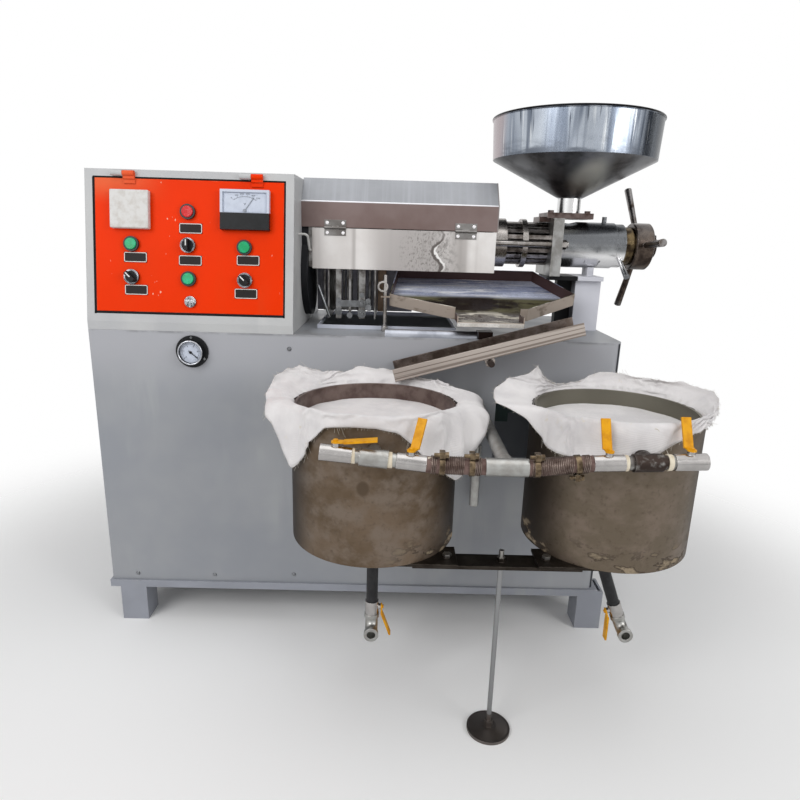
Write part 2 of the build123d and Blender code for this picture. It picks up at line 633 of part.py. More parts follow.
# Hopper clamp: plate on the flange with a block below it, two end bolts
clamp_left, clamp_right = hopper_x - 55, hopper_x + 44
clamp_top = flange_top + 12
clamp = block(clamp_left, clamp_right, axis_y - 42, axis_y + 42, flange_top, clamp_top)
clamp += block(clamp_left - 14, flange_left - 0.5, axis_y - 30, axis_y + 30,
               axis_height + ring_inner + clear, flange_top + 3)
clamp -= rod((hopper_x, axis_y, flange_top - 1), (hopper_x, axis_y, clamp_top + 1), neck_radius + clear)
clamp_bolts = []
for x in (clamp_left + 10, clamp_right - 10):
    clamp_bolts.append(hexagon_bar((x, axis_y - 28, clamp_top), (x, axis_y - 28, clamp_top + 5), 6.5))
keep("hopper_clamp", clamp, *clamp_bolts)

# Oil tray: six-sided pan under the cage, tilted to the front, with a level outlet lip
tray_back = axis_y + 15
tray_points = [(pin_x - 62, 20), (pin_x + 85, 20), (hopper_x + 3, axis_y - 105),
               (hopper_x - 64, tray_back), (tray_left_x + 16, tray_back), (tray_left_x, tray_left_y)]
stretch = 1 / math.cos(tray_pitch)
flat_points = [(x, (y - 20) * stretch) for x, y in tray_points]
tray_face = make_face(Polyline(*flat_points, close=True))
tray_floor = extrude(tray_face, -tray_wall)
tray_inner = extrude(offset(tray_face, amount=-tray_sheet, kind=Kind.INTERSECTION), tray_sheet - tray_wall)
tray = tray_floor - tray_inner
lip_x0, lip_x1 = pin_x - 60, pin_x + 70
mouth = block(lip_x0, lip_x1, -10, tray_sheet + 1, tray_sheet - tray_wall, 10)
tray -= mouth
tray_place = Pos(0, 20, tray_front_height) * Rot(tray_tilt, 0, 0)
tray = tray_place * tray
lip_z = tray_front_height - tray_wall * math.cos(tray_pitch)
lip_y = 20 + (tray_wall - tray_sheet) * math.sin(tray_pitch)
lip_plate = block(lip_x0, lip_x1, -26, lip_y + 1, lip_z, lip_z + tray_sheet)
for x0 in (lip_x0, lip_x1 - tray_sheet):
    lip_plate += block(x0, x0 + tray_sheet, -26, 21, lip_z, lip_z + 14)
tray += lip_plate
ear_z = tray_rim_left - 7
ear = block(tray_rod_x - 9, tray_left_x + 1.5, tray_left_y - 8, tray_left_y + 8, ear_z, ear_z + 3)
ear -= rod((tray_rod_x, tray_left_y, ear_z - 1), (tray_rod_x, tray_left_y, ear_z + 5),
           tray_rod_radius + hole_clear)
tray += ear
keep("oil_tray", tray)

# Tipping chute: channel on a pin, resting tilted towards the left barrel
chute_back = -10.0
chute_front = chute_back - chute_width
chute_base = pin_z + pin_to_chute
chute = block(pin_x - chute_length / 2, pin_x + chute_length / 2, chute_front, chute_back, chute_base,
              chute_base + chute_depth)
chute -= block(pin_x - chute_length, pin_x + chute_length, chute_front + sheet, chute_back - sheet,
               chute_base + sheet, chute_base + 2 * chute_depth)
for y0 in (chute_front + 10, chute_back - 14):
    lug = block(pin_x - chute_lug_radius, pin_x + chute_lug_radius, y0, y0 + 4, pin_z,
                chute_base + sheet / 2)
    lug += rod((pin_x, y0, pin_z), (pin_x, y0 + 4, pin_z), chute_lug_radius)
    chute += lug
chute -= rod((pin_x, chute_front - 1, pin_z), (pin_x, chute_back + 1, pin_z), pin_radius + running)
chute_turn = Pos(pin_x, 0, pin_z) * Rot(0, -chute_tilt, 0) * Pos(-pin_x, 0, -pin_z)
keep("tipping_chute", chute_turn * chute)

# Filter barrels: open steel cans with an inner ledge
barrels, plates, cloths = [], [], []
inner_radius = barrel_radius - barrel_wall
for x in (barrel_left_x, barrel_right_x):
    barrel = rod((x, barrel_y, barrel_bottom), (x, barrel_y, barrel_top), barrel_radius)
    barrel -= rod((x, barrel_y, barrel_bottom + barrel_wall), (x, barrel_y, barrel_top + 1), inner_radius)
    barrel += tube((x, barrel_y, plate_height - 5), (x, barrel_y, plate_height), inner_radius + 1,
                   inner_radius - 10)
    barrels.append(barrel)
    plate = rod((x, barrel_y, plate_height), (x, barrel_y, plate_height + 3), inner_radius - 0.5)
    holes = [rod((x, barrel_y, plate_height - 1), (x, barrel_y, plate_height + 4), 4.0)]
    for row, count in ((35, 6), (70, 12), (105, 18)):
        for index in range(count):
            turn = 2 * math.pi * index / count
            hx, hy = x + row * math.cos(turn), barrel_y + row * math.sin(turn)
            holes.append(rod((hx, hy, plate_height - 1), (hx, hy, plate_height + 4), 4.0))
    for hole in holes:
        plate -= hole
    plates.append(plate)
keep("barrels", *barrels)
keep("filter_plates", *plates)

# Centre line of the vacuum manifold along the barrels' fronts, and where its two barrel tees sit
manifold_left, manifold_right = barrel_left_x - 74, barrel_right_x + 76
hose_spans = ((barrel_left_x + 79, pin_x - 44), (pin_x + 18, barrel_right_x - 88))
manifold_knots = [(manifold_left, manifold_mid + 17), (hose_spans[0][0], manifold_mid + 2),
                  (hose_spans[0][1], manifold_mid), (hose_spans[1][0], manifold_mid),
                  (hose_spans[1][1], manifold_mid + 9), (manifold_right, manifold_mid + 16)]


def on_line(x):
    """The manifold centre line's point at a distance along X."""
    for (x0, z0), (x1, z1) in zip(manifold_knots, manifold_knots[1:]):
        if x <= x1:
            return (x, manifold_y, z0 + (z1 - z0) * (x - x0) / (x1 - x0))
    return (manifold_knots[-1][0], manifold_y, manifold_knots[-1][1])


valve_spans = ((manifold_left, barrel_left_x - 28), (barrel_left_x + 36, hose_spans[0][0]),
               (hose_spans[1][1], barrel_right_x - 43), (barrel_right_x + 29, manifold_right))
tee_spans = ((barrel_left_x - 17, barrel_left_x + 24, barrel_left_x),
             (barrel_right_x - 30, barrel_right_x + 12, barrel_right_x))

# Filter cloths: one closed skin each, over the plate, up inside the barrel, over the rim and down
cloth_bottom = plate_height + 3 + clear
cloth_outer = inner_radius - 0.6
cloth_inner = cloth_outer - cloth_thick
skirt_inner = barrel_radius + 3
for x0, x1, x in tee_spans:
    section = [(0, cloth_bottom), (cloth_outer, cloth_bottom), (cloth_outer, barrel_top + clear),
               (skirt_inner, barrel_top + clear), (skirt_inner, barrel_top - cloth_drop),
               (skirt_inner + cloth_thick, barrel_top - cloth_drop),
               (skirt_inner + cloth_thick, barrel_top + clear + cloth_thick),
               (cloth_inner, barrel_top + clear + cloth_thick), (cloth_inner, cloth_bottom + cloth_thick),
               (0, cloth_bottom + cloth_thick)]
    cloth_plane = Plane(origin=(x, barrel_y, 0), x_dir=(1, 0, 0), z_dir=(0, -1, 0))
    cloth_face = cloth_plane * make_face(Polyline(*section, close=True))
    cloth = revolve(cloth_face, Axis((x, barrel_y, 0), (0, 0, 1)), 360)
    tx, ty, tz = on_line((x0 + x1) / 2)
    cloth -= rod((tx, barrel_y - barrel_radius + 1, tz), (tx, ty, tz), 14.0)
    cloths.append(cloth)
keep("filter_cloths", *cloths)

# Filter rings: loose hoops that hold each cloth down on its plate
for name, x in (("filter_ring_left", barrel_left_x), ("filter_ring_right", barrel_right_x)):
    low = cloth_bottom + cloth_thick + clear
    keep(name, tube((x, barrel_y, low), (x, barrel_y, barrel_top + 1), cloth_inner - clear,
                    cloth_inner - clear - ring_wall))

# Barrel supports: rear brackets to the housing, front bar with gussets, bolts, and the leg with its foot
supports = []
bracket_z = barrel_bottom + 103
for x in (barrel_left_x, barrel_right_x):
    bracket = block(x - 35, x + 35, barrel_y + 90, 0, bracket_z, bracket_z + 6)
    bracket += block(x - 35, x + 35, -5, 0, bracket_z - 34, bracket_z + 6)
    bracket -= rod((x, barrel_y, bracket_z - 50), (x, barrel_y, bracket_z + 50), barrel_radius + 0.1)
    supports.append(bracket)
    for sx in (x - 22, x + 22):
        supports.append(hexagon_bar((sx, -5, bracket_z - 18), (sx, -11, bracket_z - 18), 7.5))
bar_y = barrel_y - 100
leg_x = pin_x + 4
bar_low = barrel_bottom - 11
bar_left, bar_right = barrel_left_x + 67, barrel_right_x - 66
bar = block(bar_left, bar_right, bar_y - 20, bar_y + 20, bar_low, bar_low + 6)
bar -= rod((leg_x, bar_y, bar_low - 1), (leg_x, bar_y, bar_low + 7), 4.5)
supports.append(bar)
for x0, x1, bolt_x in ((barrel_left_x + 30, barrel_left_x + 139, barrel_left_x + 124),
                       (barrel_right_x - 139, barrel_right_x - 30, barrel_right_x - 121)):
    supports.append(block(x0, x1, bar_y - 26, bar_y + 34, bar_low + 6, barrel_bottom))
    supports.append(hexagon_bar((bolt_x, bar_y, barrel_bottom), (bolt_x, bar_y, barrel_bottom + 6), 7.5))
leg = rod((leg_x, bar_y, 9), (leg_x, bar_y, barrel_bottom + 14), 4.2)
leg += hexagon_bar((leg_x, bar_y, bar_low + 6), (leg_x, bar_y, bar_low + 13), 7.5)
leg += hexagon_bar((leg_x, bar_y, bar_low - 7), (leg_x, bar_y, bar_low), 7.5)
leg += hexagon_bar((leg_x, bar_y, 9), (leg_x, bar_y, 20), 8.0)
supports.append(leg)
foot_disc = rod((leg_x, bar_y, 0), (leg_x, bar_y, 5), 38.0)
foot_disc += rod((leg_x, bar_y, 5), (leg_x, bar_y, 9), 34.0, 14.0)
supports.append(foot_disc)
keep("barrel_supports", *supports)

# Vacuum manifold: valve bodies, tees, nipples, suction pipe and exhaust stub
fittings, valves = [], []
branch_radius = tee_radius - 0.7
for x0, x1 in valve_spans:
    body = rod(on_line(x0), on_line(x1), valve_radius)
    mid_x, mid_y, mid_z = on_line((x0 + x1) / 2)
    body += rod((mid_x, mid_y, mid_z), (mid_x, mid_y, mid_z + valve_radius + 4), 5.5)
    valves.append(body)
for x0, x1, barrel_x in tee_spans:
    tee = rod(on_line(x0), on_line(x1), tee_radius)
    tx, ty, tz = on_line((x0 + x1) / 2)
    reach = math.sqrt(barrel_radius ** 2 - (tx - barrel_x) ** 2)
    tee += rod((tx, ty, tz), (tx, barrel_y - reach + 6, tz), pipe_radius)
    tee += rod((tx, ty, tz), (tx, ty + tee_radius + 6, tz), branch_radius)
    tee -= rod((barrel_x, barrel_y, barrel_bottom), (barrel_x, barrel_y, barrel_top), barrel_radius + 0.1)
    fittings.append(tee)
for valve, tee, left_tee in ((0, 0, False), (1, 0, True), (2, 1, False), (3, 1, True)):
    x0, x1 = (tee_spans[tee][1], valve_spans[valve][0]) if left_tee else (valve_spans[valve][1],
                                                                          tee_spans[tee][0])
    fittings.append(rod(on_line(x0), on_line(x1), pipe_radius))
centre_tee = rod(on_line(hose_spans[0][1]), on_line(hose_spans[1][0]), tee_radius)
cx, cy, cz = on_line(pump_x)
centre_tee += rod((cx, cy, cz), (cx, cy + tee_radius + 8, cz), branch_radius)
pump_face = pump_y - 40
centre_tee += rod((cx, cy, cz), (cx, pump_face, cz), pipe_radius)
fittings.append(centre_tee)
exhaust_x, exhaust_z = pin_x - 6, barrel_bottom + 88
exhaust = rod((exhaust_x, 0, exhaust_z), (exhaust_x, -25, exhaust_z), 9.5)
exhaust += rod((exhaust_x, -25, exhaust_z + 9.5), (exhaust_x, -25, exhaust_z - 122), 9.5)
fittings.append(exhaust)

# Vacuum hoses: short bent tubes between the valves and the centre tee, with their clamps
hoses, clamps = [], []
for (x0, x1), clamp_insets in zip(hose_spans, ((23, 20), (12, 22))):
    clamp_xs = (x0 + clamp_insets[0], x1 - clamp_insets[1])
    start, end = Vector(*on_line(x0)), Vector(*on_line(x1))
    before, after = Vector(*on_line(x0 - 5)), Vector(*on_line(x1 + 5))
    path = Spline(start, end, tangents=(start - before, after - end))
    hose_plane = Plane(origin=start, z_dir=(start - before).normalized())
    hoses.append(sweep(hose_plane * (Circle(12.0) - Circle(8.0)), path=path))
    for index, clamp_x in enumerate(clamp_xs):
        share = (clamp_x - x0) / (x1 - x0)
        centre, heading = path @ share, path % share
        low, high = centre - heading * 4, centre + heading * 4
        band = tube(tuple(low), tuple(high), 14.3, 12.0 + clear)
        side = -1 if (x0 > pin_x and index == 1) else 1
        z0, z1 = sorted((centre.Z + side * 13, centre.Z + side * 23))
        band += block(centre.X - 4, centre.X + 4, centre.Y - 9, centre.Y + 3, z0, z1)
        mid_z = (z0 + z1) / 2
        band += rod((centre.X - 4, centre.Y - 6, mid_z), (centre.X - 12, centre.Y - 6, mid_z), 3.0)
        band += hexagon_bar((centre.X + 4, centre.Y - 6, mid_z), (centre.X + 9, centre.Y - 6, mid_z), 5.0)
        clamps.append(band)
keep("vacuum_hoses", *hoses)
keep("hose_clamps", *clamps)


def lever(pivot, stem_dir, arm_dir, rise_degrees, length):
    """A ball valve lever: stem disc, short flat, then a grip that rises away from the valve."""
    stem, arm = Vector(*stem_dir), Vector(*arm_dir)
    across = stem.cross(arm)
    base = Vector(*pivot) + stem * (valve_radius + 4 + clear)
    plane = Plane(origin=base, x_dir=arm, z_dir=stem)
    shape = plane * (Pos(0, 0, lever_thick / 2) * Cylinder(6.5, lever_thick))
    shape += plane * (Pos(6, 0, lever_thick / 2) * Box(14, lever_width - 3, lever_thick))
    grip = Pos(12, 0, 0) * Rot(0, -rise_degrees, 0) * Pos(length / 2, 0, lever_thick / 2)
    shape += plane * (grip * Box(length, lever_width, lever_thick + 0.8))
    shape += plane * (Pos(0, 0, lever_thick) * Cylinder(3.5, 5))
    return shape


def middle(x0, x1):
    """The manifold point halfway between two distances."""
    return on_line((x0 + x1) / 2)


up, back, right = (0, 0, 1), (0, 1, 0), (1, 0, 0)
keep("valve_lever_1", lever(middle(*valve_spans[0]), up, right, 5, 48))
aslant = (0.5, 0.87, 0)
for number, arm in ((2, aslant), (3, back), (4, back)):
    keep(f"valve_lever_{number}", lever(middle(*valve_spans[number - 1]), up, arm, 62, 46))

# Barrel drains: black pipe, valve body, elbow and lever under each barrel
drains = []
left_top = (barrel_left_x, barrel_y + 5, barrel_bottom)
left_low = (barrel_left_x, barrel_y + 5, barrel_bottom - 151)
right_top = (barrel_right_x - 12, barrel_y + 5, barrel_bottom)
right_low = (barrel_right_x + 42, barrel_y + 5, barrel_bottom - 145)
for name, top, low, side in (("drain_lever_left", left_top, left_low, 1),
                             ("drain_lever_right", right_top, right_low, -1)):
    line = (Vector(*low) - Vector(*top)).normalized()
    over = Vector(*top) - line * 20
    pipe = rod(tuple(over), low, pipe_radius)
    above = block(top[0] - 50, top[0] + 50, top[1] - 50, top[1] + 50, barrel_bottom, barrel_bottom + 50)
    drains.append(pipe - above)
    valve_end = Vector(*low) + line * 26
    stem_dir = Vector(side, 0, 0) - line * (Vector(side, 0, 0).dot(line))
    stem_dir = stem_dir.normalized()
    centre = Vector(*low) + line * 13
    body = rod(low, tuple(valve_end), valve_radius)
    body += rod(tuple(centre), tuple(centre + stem_dir * (valve_radius + 4)), 5.5)
    valves.append(body)
    keep(name, lever(tuple(centre), tuple(stem_dir), tuple(line), 20, 48))
    elbow_radius = 20.0
    turn_mid = valve_end + line * 10
    bend = Line(valve_end, turn_mid) + TangentArc(turn_mid, turn_mid + line * elbow_radius
                                                  + Vector(0, -elbow_radius, 0), tangent=line)
    elbow_plane = Plane(origin=valve_end, z_dir=line)
    elbow = sweep(elbow_plane * Circle(pipe_radius + 1), path=bend)
    mouth_at = turn_mid + line * elbow_radius + Vector(0, -elbow_radius, 0)
    elbow += rod(tuple(mouth_at), tuple(mouth_at + Vector(0, -8, 0)), tee_radius)
    elbow += rod(tuple(valve_end), tuple(valve_end + line * 8), tee_radius)
    elbow -= rod(tuple(mouth_at + Vector(0, -9, 0)), tuple(mouth_at + Vector(0, 12, 0)), 8.0)
    fittings.append(elbow)
keep("drain_pipes", *drains)
keep("valve_bodies", *valves)
keep("pipe_fittings", *fittings)

# Heater cable from the cabinet's side to the discharge frame, round bends between straight runs
cable_x = casing_right + 4.3
cable_end = axis_y - flange_half_depth
cable_high, cable_low = axis_height + 7, axis_height - 25
cable_points = [(cabinet_width, axis_y - 117, cable_high), (cable_x, axis_y - 117, cable_high),
                (cable_x, cable_end - 17, cable_low), (cable_x, cable_end, cable_low)]
cable_path = FilletPolyline(*cable_points, radius=8)
cable_plane = Plane(origin=cable_points[0], z_dir=(1, 0, 0))
keep("heater_cable", sweep(cable_plane * Circle(2.3), path=cable_path))

# Deck fittings: half-round strip along the deck's front, and the dark stop block beside it
strip = rod((pin_x - 199, 18, deck_height), (pin_x - 16, 18, deck_height), 14.0)
strip -= block(pin_x - 200, pin_x - 15, 0, 40, deck_height - 20, deck_height)
stop = block(pin_x - 15, pin_x + 15, 2, 30, deck_height, deck_height + 15)
keep("deck_fittings", strip, stop)

# Move everything so that the frame's origin is the middle of the whole press, on the floor
boxes = [solid.bounding_box() for solids in pieces.values() for solid in solids]
shift_x = -(min(b.min.X for b in boxes) + max(b.max.X for b in boxes)) / 2
shift_y = -(min(b.min.Y for b in boxes) + max(b.max.Y for b in boxes)) / 2
os.makedirs("parts", exist_ok=True)
for name, solids in pieces.items():
    moved = [Pos(shift_x, shift_y, 0) * solid for solid in solids]
    shape = moved[0] if len(moved) == 1 else Compound(children=moved)
    export_step(shape, f"parts/{name}.step")
print("shift", round(shift_x, 4), round(shift_y, 4), "pieces", len(pieces))
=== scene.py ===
import math
import random
import bmesh
import bpy
from mathutils import Matrix, Quaternion, Vector, noise


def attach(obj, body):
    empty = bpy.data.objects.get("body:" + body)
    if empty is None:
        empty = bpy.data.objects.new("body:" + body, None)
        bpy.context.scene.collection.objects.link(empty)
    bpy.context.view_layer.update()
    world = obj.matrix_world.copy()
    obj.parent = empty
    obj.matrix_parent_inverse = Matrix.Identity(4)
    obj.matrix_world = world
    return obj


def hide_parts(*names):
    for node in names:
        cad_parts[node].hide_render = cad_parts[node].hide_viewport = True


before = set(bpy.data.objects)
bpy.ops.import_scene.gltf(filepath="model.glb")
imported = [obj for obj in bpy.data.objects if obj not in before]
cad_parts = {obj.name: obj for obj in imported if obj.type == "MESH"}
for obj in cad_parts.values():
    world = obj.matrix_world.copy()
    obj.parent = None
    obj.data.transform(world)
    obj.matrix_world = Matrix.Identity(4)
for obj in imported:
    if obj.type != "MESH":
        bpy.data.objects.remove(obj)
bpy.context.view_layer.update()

# Camera
# The photograph's own view: chest height, just left of the middle, looking fifteen degrees down.
camera = bpy.data.objects.new("camera", bpy.data.cameras.new("camera"))
camera.data.lens = 27.98
camera.data.sensor_width = 36.0
camera.location = (0.01765, -1.23088, 0.84618)
camera.rotation_mode = "QUATERNION"
aim = Vector((0.01226, 0.96559, -0.25979))
camera.rotation_quaternion = aim.to_track_quat("-Z", "Y") @ Quaternion((0, 0, 1), 0.0292)
bpy.context.scene.collection.objects.link(camera)
bpy.context.scene.camera = camera

# Studio
# A pale floor that fades into a white surround, a large soft lamp on the left, a smaller one on the
# right and one overhead. Dark cards beside the press give its polished steel something to reflect.
bpy.context.scene.view_settings.view_transform = "Standard"


def linear(code):
    """A colour written as sRGB hex, as Blender wants it."""
    parts = [int(code[i:i + 2], 16) / 255 for i in (1, 3, 5)]
    return tuple(c / 12.92 if c <= 0.04045 else ((c + 0.055) / 1.055) ** 2.4 for c in parts) + (1.0,)


def add(tree, kind, inputs=None, **settings):
    """Adds one shader node with its settings, its values and its links."""
    node = tree.nodes.new(kind)
    for name, value in settings.items():
        setattr(node, name, value)
    for socket, value in (inputs or {}).items():
        if isinstance(value, bpy.types.NodeSocket):
            tree.links.new(value, node.inputs[socket])
        else:
            node.inputs[socket].default_value = value
    return node


world = bpy.data.worlds.new("surround")
world.use_nodes = True
bpy.context.scene.world = world
sky = world.node_tree
sky.nodes.clear()
ray = add(sky, "ShaderNodeLightPath")
seen = add(sky, "ShaderNodeMath", {0: ray.outputs["Is Camera Ray"], 1: ray.outputs["Is Glossy Ray"]},
           operation="MAXIMUM")
seen = add(sky, "ShaderNodeMath", {0: seen.outputs[0], 1: ray.outputs["Is Transmission Ray"]},
           operation="MAXIMUM")
strength = add(sky, "ShaderNodeMapRange", {"Value": seen.outputs[0], "To Min": 0.38, "To Max": 1.0})
air = add(sky, "ShaderNodeBackground", {"Color": (1, 1, 1, 1), "Strength": strength.outputs[0]})
add(sky, "ShaderNodeOutputWorld", {"Surface": air.outputs[0]})

for name, place, target, size, power in (
        ("lamp_left", (-1.9, -2.4, 2.3), (0, 0, 0.5), 1.8, 50.0),
        ("lamp_right", (2.4, -1.9, 1.7), (0.2, 0, 0.5), 1.4, 27.0),
        ("lamp_top", (0.1, -0.4, 2.9), (0.1, 0, 0.5), 2.2, 17.0)):
    lamp = bpy.data.objects.new(name, bpy.data.lights.new(name, "AREA"))
    lamp.data.size = size
    lamp.data.energy = power
    lamp.location = place
    lamp.rotation_euler = (Vector(target) - Vector(place)).to_track_quat("-Z", "Y").to_euler()
    lamp.visible_camera = False
    bpy.context.scene.collection.objects.link(lamp)


def solid_mesh(name, mesh_in_making, smooth=40.0):
    """Turns a finished bmesh into a mesh whose edges under so many degrees shade smoothly."""
    mesh = bpy.data.meshes.new(name)
    mesh_in_making.to_mesh(mesh)
    mesh_in_making.free()
    mesh.shade_smooth()
    mesh.set_sharp_from_angle(angle=math.radians(smooth))
    return mesh


def add_object(name, mesh, material):
    """Puts a mesh, already in its place, into the scene with its material."""
    mesh.materials.clear()
    mesh.materials.append(material)
    piece = bpy.data.objects.new(name, mesh)
    bpy.context.scene.collection.objects.link(piece)
    return piece


paper = bpy.data.materials.new("pale_studio_floor")
paper.use_nodes = True
tree = paper.node_tree
tree.nodes.clear()
place = add(tree, "ShaderNodeTexCoord").outputs["Object"]
reach = add(tree, "ShaderNodeVectorMath", {0: place}, operation="LENGTH").outputs["Value"]
fade = add(tree, "ShaderNodeMapRange", {"Value": reach, "From Min": 0.75, "From Max": 1.7},
           interpolation_type="SMOOTHERSTEP").outputs[0]
pale = add(tree, "ShaderNodeBsdfDiffuse", {"Color": linear("#F8F8F8")}).outputs[0]
clear_air = add(tree, "ShaderNodeBsdfTransparent").outputs[0]
light_path = add(tree, "ShaderNodeLightPath")
faded = add(tree, "ShaderNodeMath", {0: fade, 1: light_path.outputs["Is Camera Ray"]},
            operation="MULTIPLY").outputs[0]
blend = add(tree, "ShaderNodeMixShader", {0: faded, 1: pale, 2: clear_air}).outputs[0]
add(tree, "ShaderNodeOutputMaterial", {"Surface": blend})
bm = bmesh.new()
bmesh.ops.create_circle(bm, cap_ends=True, segments=96, radius=5.0)
floor = add_object("floor", solid_mesh("floor", bm), paper)

card_black = bpy.data.materials.new("black_card")
card_black.use_nodes = True
card_black.node_tree.nodes["Principled BSDF"].inputs["Base Color"].default_value = linear("#17181B")
card_black.node_tree.nodes["Principled BSDF"].inputs["Roughness"].default_value = 1.0
for number, (x, y, width, low, high, turn) in enumerate((
        (-1.15, -1.9, 0.30, 0.9, 2.6, 30), (1.35, -1.75, 0.42, 0.2, 2.3, -40),
        (0.55, -2.6, 0.26, 1.25, 2.9, -10), (2.3, 0.25, 0.9, 0.0, 2.2, -95))):
    bm = bmesh.new()
    bmesh.ops.create_grid(bm, x_segments=1, y_segments=1, size=0.5)
    bmesh.ops.scale(bm, verts=bm.verts, vec=(width, high - low, 1))
    bmesh.ops.rotate(bm, verts=bm.verts, matrix=Matrix.Rotation(math.radians(90), 3, "X"))
    bmesh.ops.rotate(bm, verts=bm.verts, matrix=Matrix.Rotation(math.radians(turn), 3, "Z"))
    bmesh.ops.translate(bm, verts=bm.verts, vec=(x, y, (low + high) / 2))
    card = add_object(f"dark_card_{number}", solid_mesh("dark_card", bm), card_black)
    card.visible_camera = False
    card.visible_diffuse = False
    card.visible_shadow = False

# Base frame and housing
# A welded angle frame on four square feet carries a folded steel housing. Both are sprayed with the
# same grey enamel: faintly orange-peeled, dusty, rubbed bright along its folds.


# The frame's origin lies so many mm right of the body's left side and behind its front face.
origin_right, origin_back = 583.65, 11.35


def at(x, y, z):
    """A point in mm from the floor under the body's left front corner, in the frame's metres."""
    return Vector(((x - origin_right) / 1000, (y - origin_back) / 1000, z / 1000))


def per_mm(size):
    """A texture scale that repeats about once every so many millimetres."""
    return 1000.0 / size


def begin(name):
    """A new material with its output and its place on the object."""
    material = bpy.data.materials.new(name)
    material.use_nodes = True
    tree = material.node_tree
    tree.nodes.clear()
    place = add(tree, "ShaderNodeTexCoord").outputs["Object"]
    shader = add(tree, "ShaderNodeBsdfPrincipled", name="shader")
    add(tree, "ShaderNodeOutputMaterial", {"Surface": shader.outputs[0]})
    return material, tree, place, shader


def patches(tree, place, size, low, high, stretch=(1, 1, 1), detail=4.0):
    """A mask of blotches about so many mm across, drawn out along an axis whose stretch is small."""
    drawn = add(tree, "ShaderNodeMapping", {"Vector": place, "Scale": stretch}).outputs[0]
    cloud = add(tree, "ShaderNodeTexNoise", {"Vector": drawn, "Scale": per_mm(size), "Detail": detail,
                                             "Roughness": 0.6}).outputs["Fac"]
    return add(tree, "ShaderNodeMapRange", {"Value": cloud, "From Min": low, "From Max": high},
               interpolation_type="SMOOTHSTEP").outputs[0]


def times(tree, first, second):
    """Two masks together."""
    return add(tree, "ShaderNodeMath", {0: first, 1: second}, operation="MULTIPLY").outputs[0]


def lay(tree, mask, colour=None, roughness=None, metallic=None):
    """Lays a further colour, roughness or metal over what the shader has, where mask is 1."""
    shader = tree.nodes["shader"]
    if colour:
        under = shader.inputs["Base Color"]
        below = under.links[0].from_socket if under.is_linked else tuple(under.default_value)
        mixed = add(tree, "ShaderNodeMix", {0: mask, 6: below, 7: linear(colour)}, data_type="RGBA")
        tree.links.new(mixed.outputs[2], under)
    for socket, value in (("Roughness", roughness), ("Metallic", metallic)):
        if value is not None:
            under = shader.inputs[socket]
            below = under.links[0].from_socket if under.is_linked else under.default_value
            mixed = add(tree, "ShaderNodeMix", {0: mask, 2: below, 3: value}, data_type="FLOAT")
            tree.links.new(mixed.outputs[0], under)


def rubbed_edges(tree, radius):
    """A mask that is 1 along outer edges, and the normal that rounds them."""
    round_normal = add(tree, "ShaderNodeBevel", {"Radius": radius / 1000}, samples=4).outputs[0]
    flat_normal = add(tree, "ShaderNodeNewGeometry").outputs["Normal"]
    same = add(tree, "ShaderNodeVectorMath", {0: round_normal, 1: flat_normal},
               operation="DOT_PRODUCT").outputs["Value"]
    mask = add(tree, "ShaderNodeMapRange", {"Value": same, "From Min": 0.995, "From Max": 0.8}).outputs[0]
    return mask, round_normal


def relief(tree, height, depth, normal, strength=1.0):
    """A bump so many mm deep over a normal."""
    return add(tree, "ShaderNodeBump", {"Height": height, "Distance": depth / 1000, "Strength": strength,
                                        "Normal": normal}).outputs[0]


def enamel(name, colour, shade, dust, worn, roughness=0.42, edge=2.0, wear=0.8):
    """Sprayed enamel on steel sheet: orange peel 2 mm across, cloudy dust, worn folds."""
    material, tree, place, shader = begin(name)
    shader.inputs["Base Color"].default_value = linear(colour)
    shader.inputs["Roughness"].default_value = roughness
    shader.inputs["Specular IOR Level"].default_value = 0.16
    lay(tree, patches(tree, place, 260, 0.35, 0.65), shade)
    wipe = patches(tree, place, 90, 0.48, 0.72, (1.0, 1.0, 0.16))
    lay(tree, times(tree, wipe, patches(tree, place, 420, 0.4, 0.6)), dust, roughness + 0.18)
    edges, smooth = rubbed_edges(tree, edge)
    chips = patches(tree, place, 22, 0.38, 0.6)
    lay(tree, times(tree, times(tree, edges, chips), wear), worn)
    bent = smooth
    for size, depth in ((120, 2.2), (2.2, 0.05)):
        skin = add(tree, "ShaderNodeTexNoise", {"Vector": place, "Scale": per_mm(size), "Detail": 1.0})
        bent = relief(tree, skin.outputs[0], depth, bent)
    tree.links.new(bent, shader.inputs["Normal"])
    return material


def dress(material, *nodes):
    """Gives CAD nodes their material."""
    for name in nodes:
        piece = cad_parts[name]
        for slot in piece.material_slots:
            slot.material = material


def reopen(material):
    """A finished material's tree and its place on the object, for further layers."""
    tree = material.node_tree
    return tree, tree.nodes["Texture Coordinate"].outputs["Object"]


def band(tree, place, axis, start, end):
    """A mask that goes from 0 at one place to 1 at another along X, Y or Z, in mm."""
    along = add(tree, "ShaderNodeSeparateXYZ", {0: place}).outputs[axis]
    start, end = (at(value, value, value)[axis] for value in (start, end))
    return add(tree, "ShaderNodeMapRange", {"Value": along, "From Min": start, "From Max": end},
               interpolation_type="SMOOTHSTEP").outputs[0]


def near(tree, place, spot, radius, soft, squeeze=(1, 1, 1)):
    """A mask that is 1 within so many mm of a spot."""
    moved = add(tree, "ShaderNodeVectorMath", {0: place, 1: spot}, operation="SUBTRACT").outputs[0]
    drawn = add(tree, "ShaderNodeVectorMath", {0: moved, 1: squeeze}, operation="MULTIPLY").outputs[0]
    away = add(tree, "ShaderNodeVectorMath", {0: drawn}, operation="LENGTH").outputs["Value"]
    return add(tree, "ShaderNodeMapRange", {"Value": away, "From Min": (radius + soft) / 1000,
                                            "From Max": radius / 1000},
               interpolation_type="SMOOTHSTEP").outputs[0]


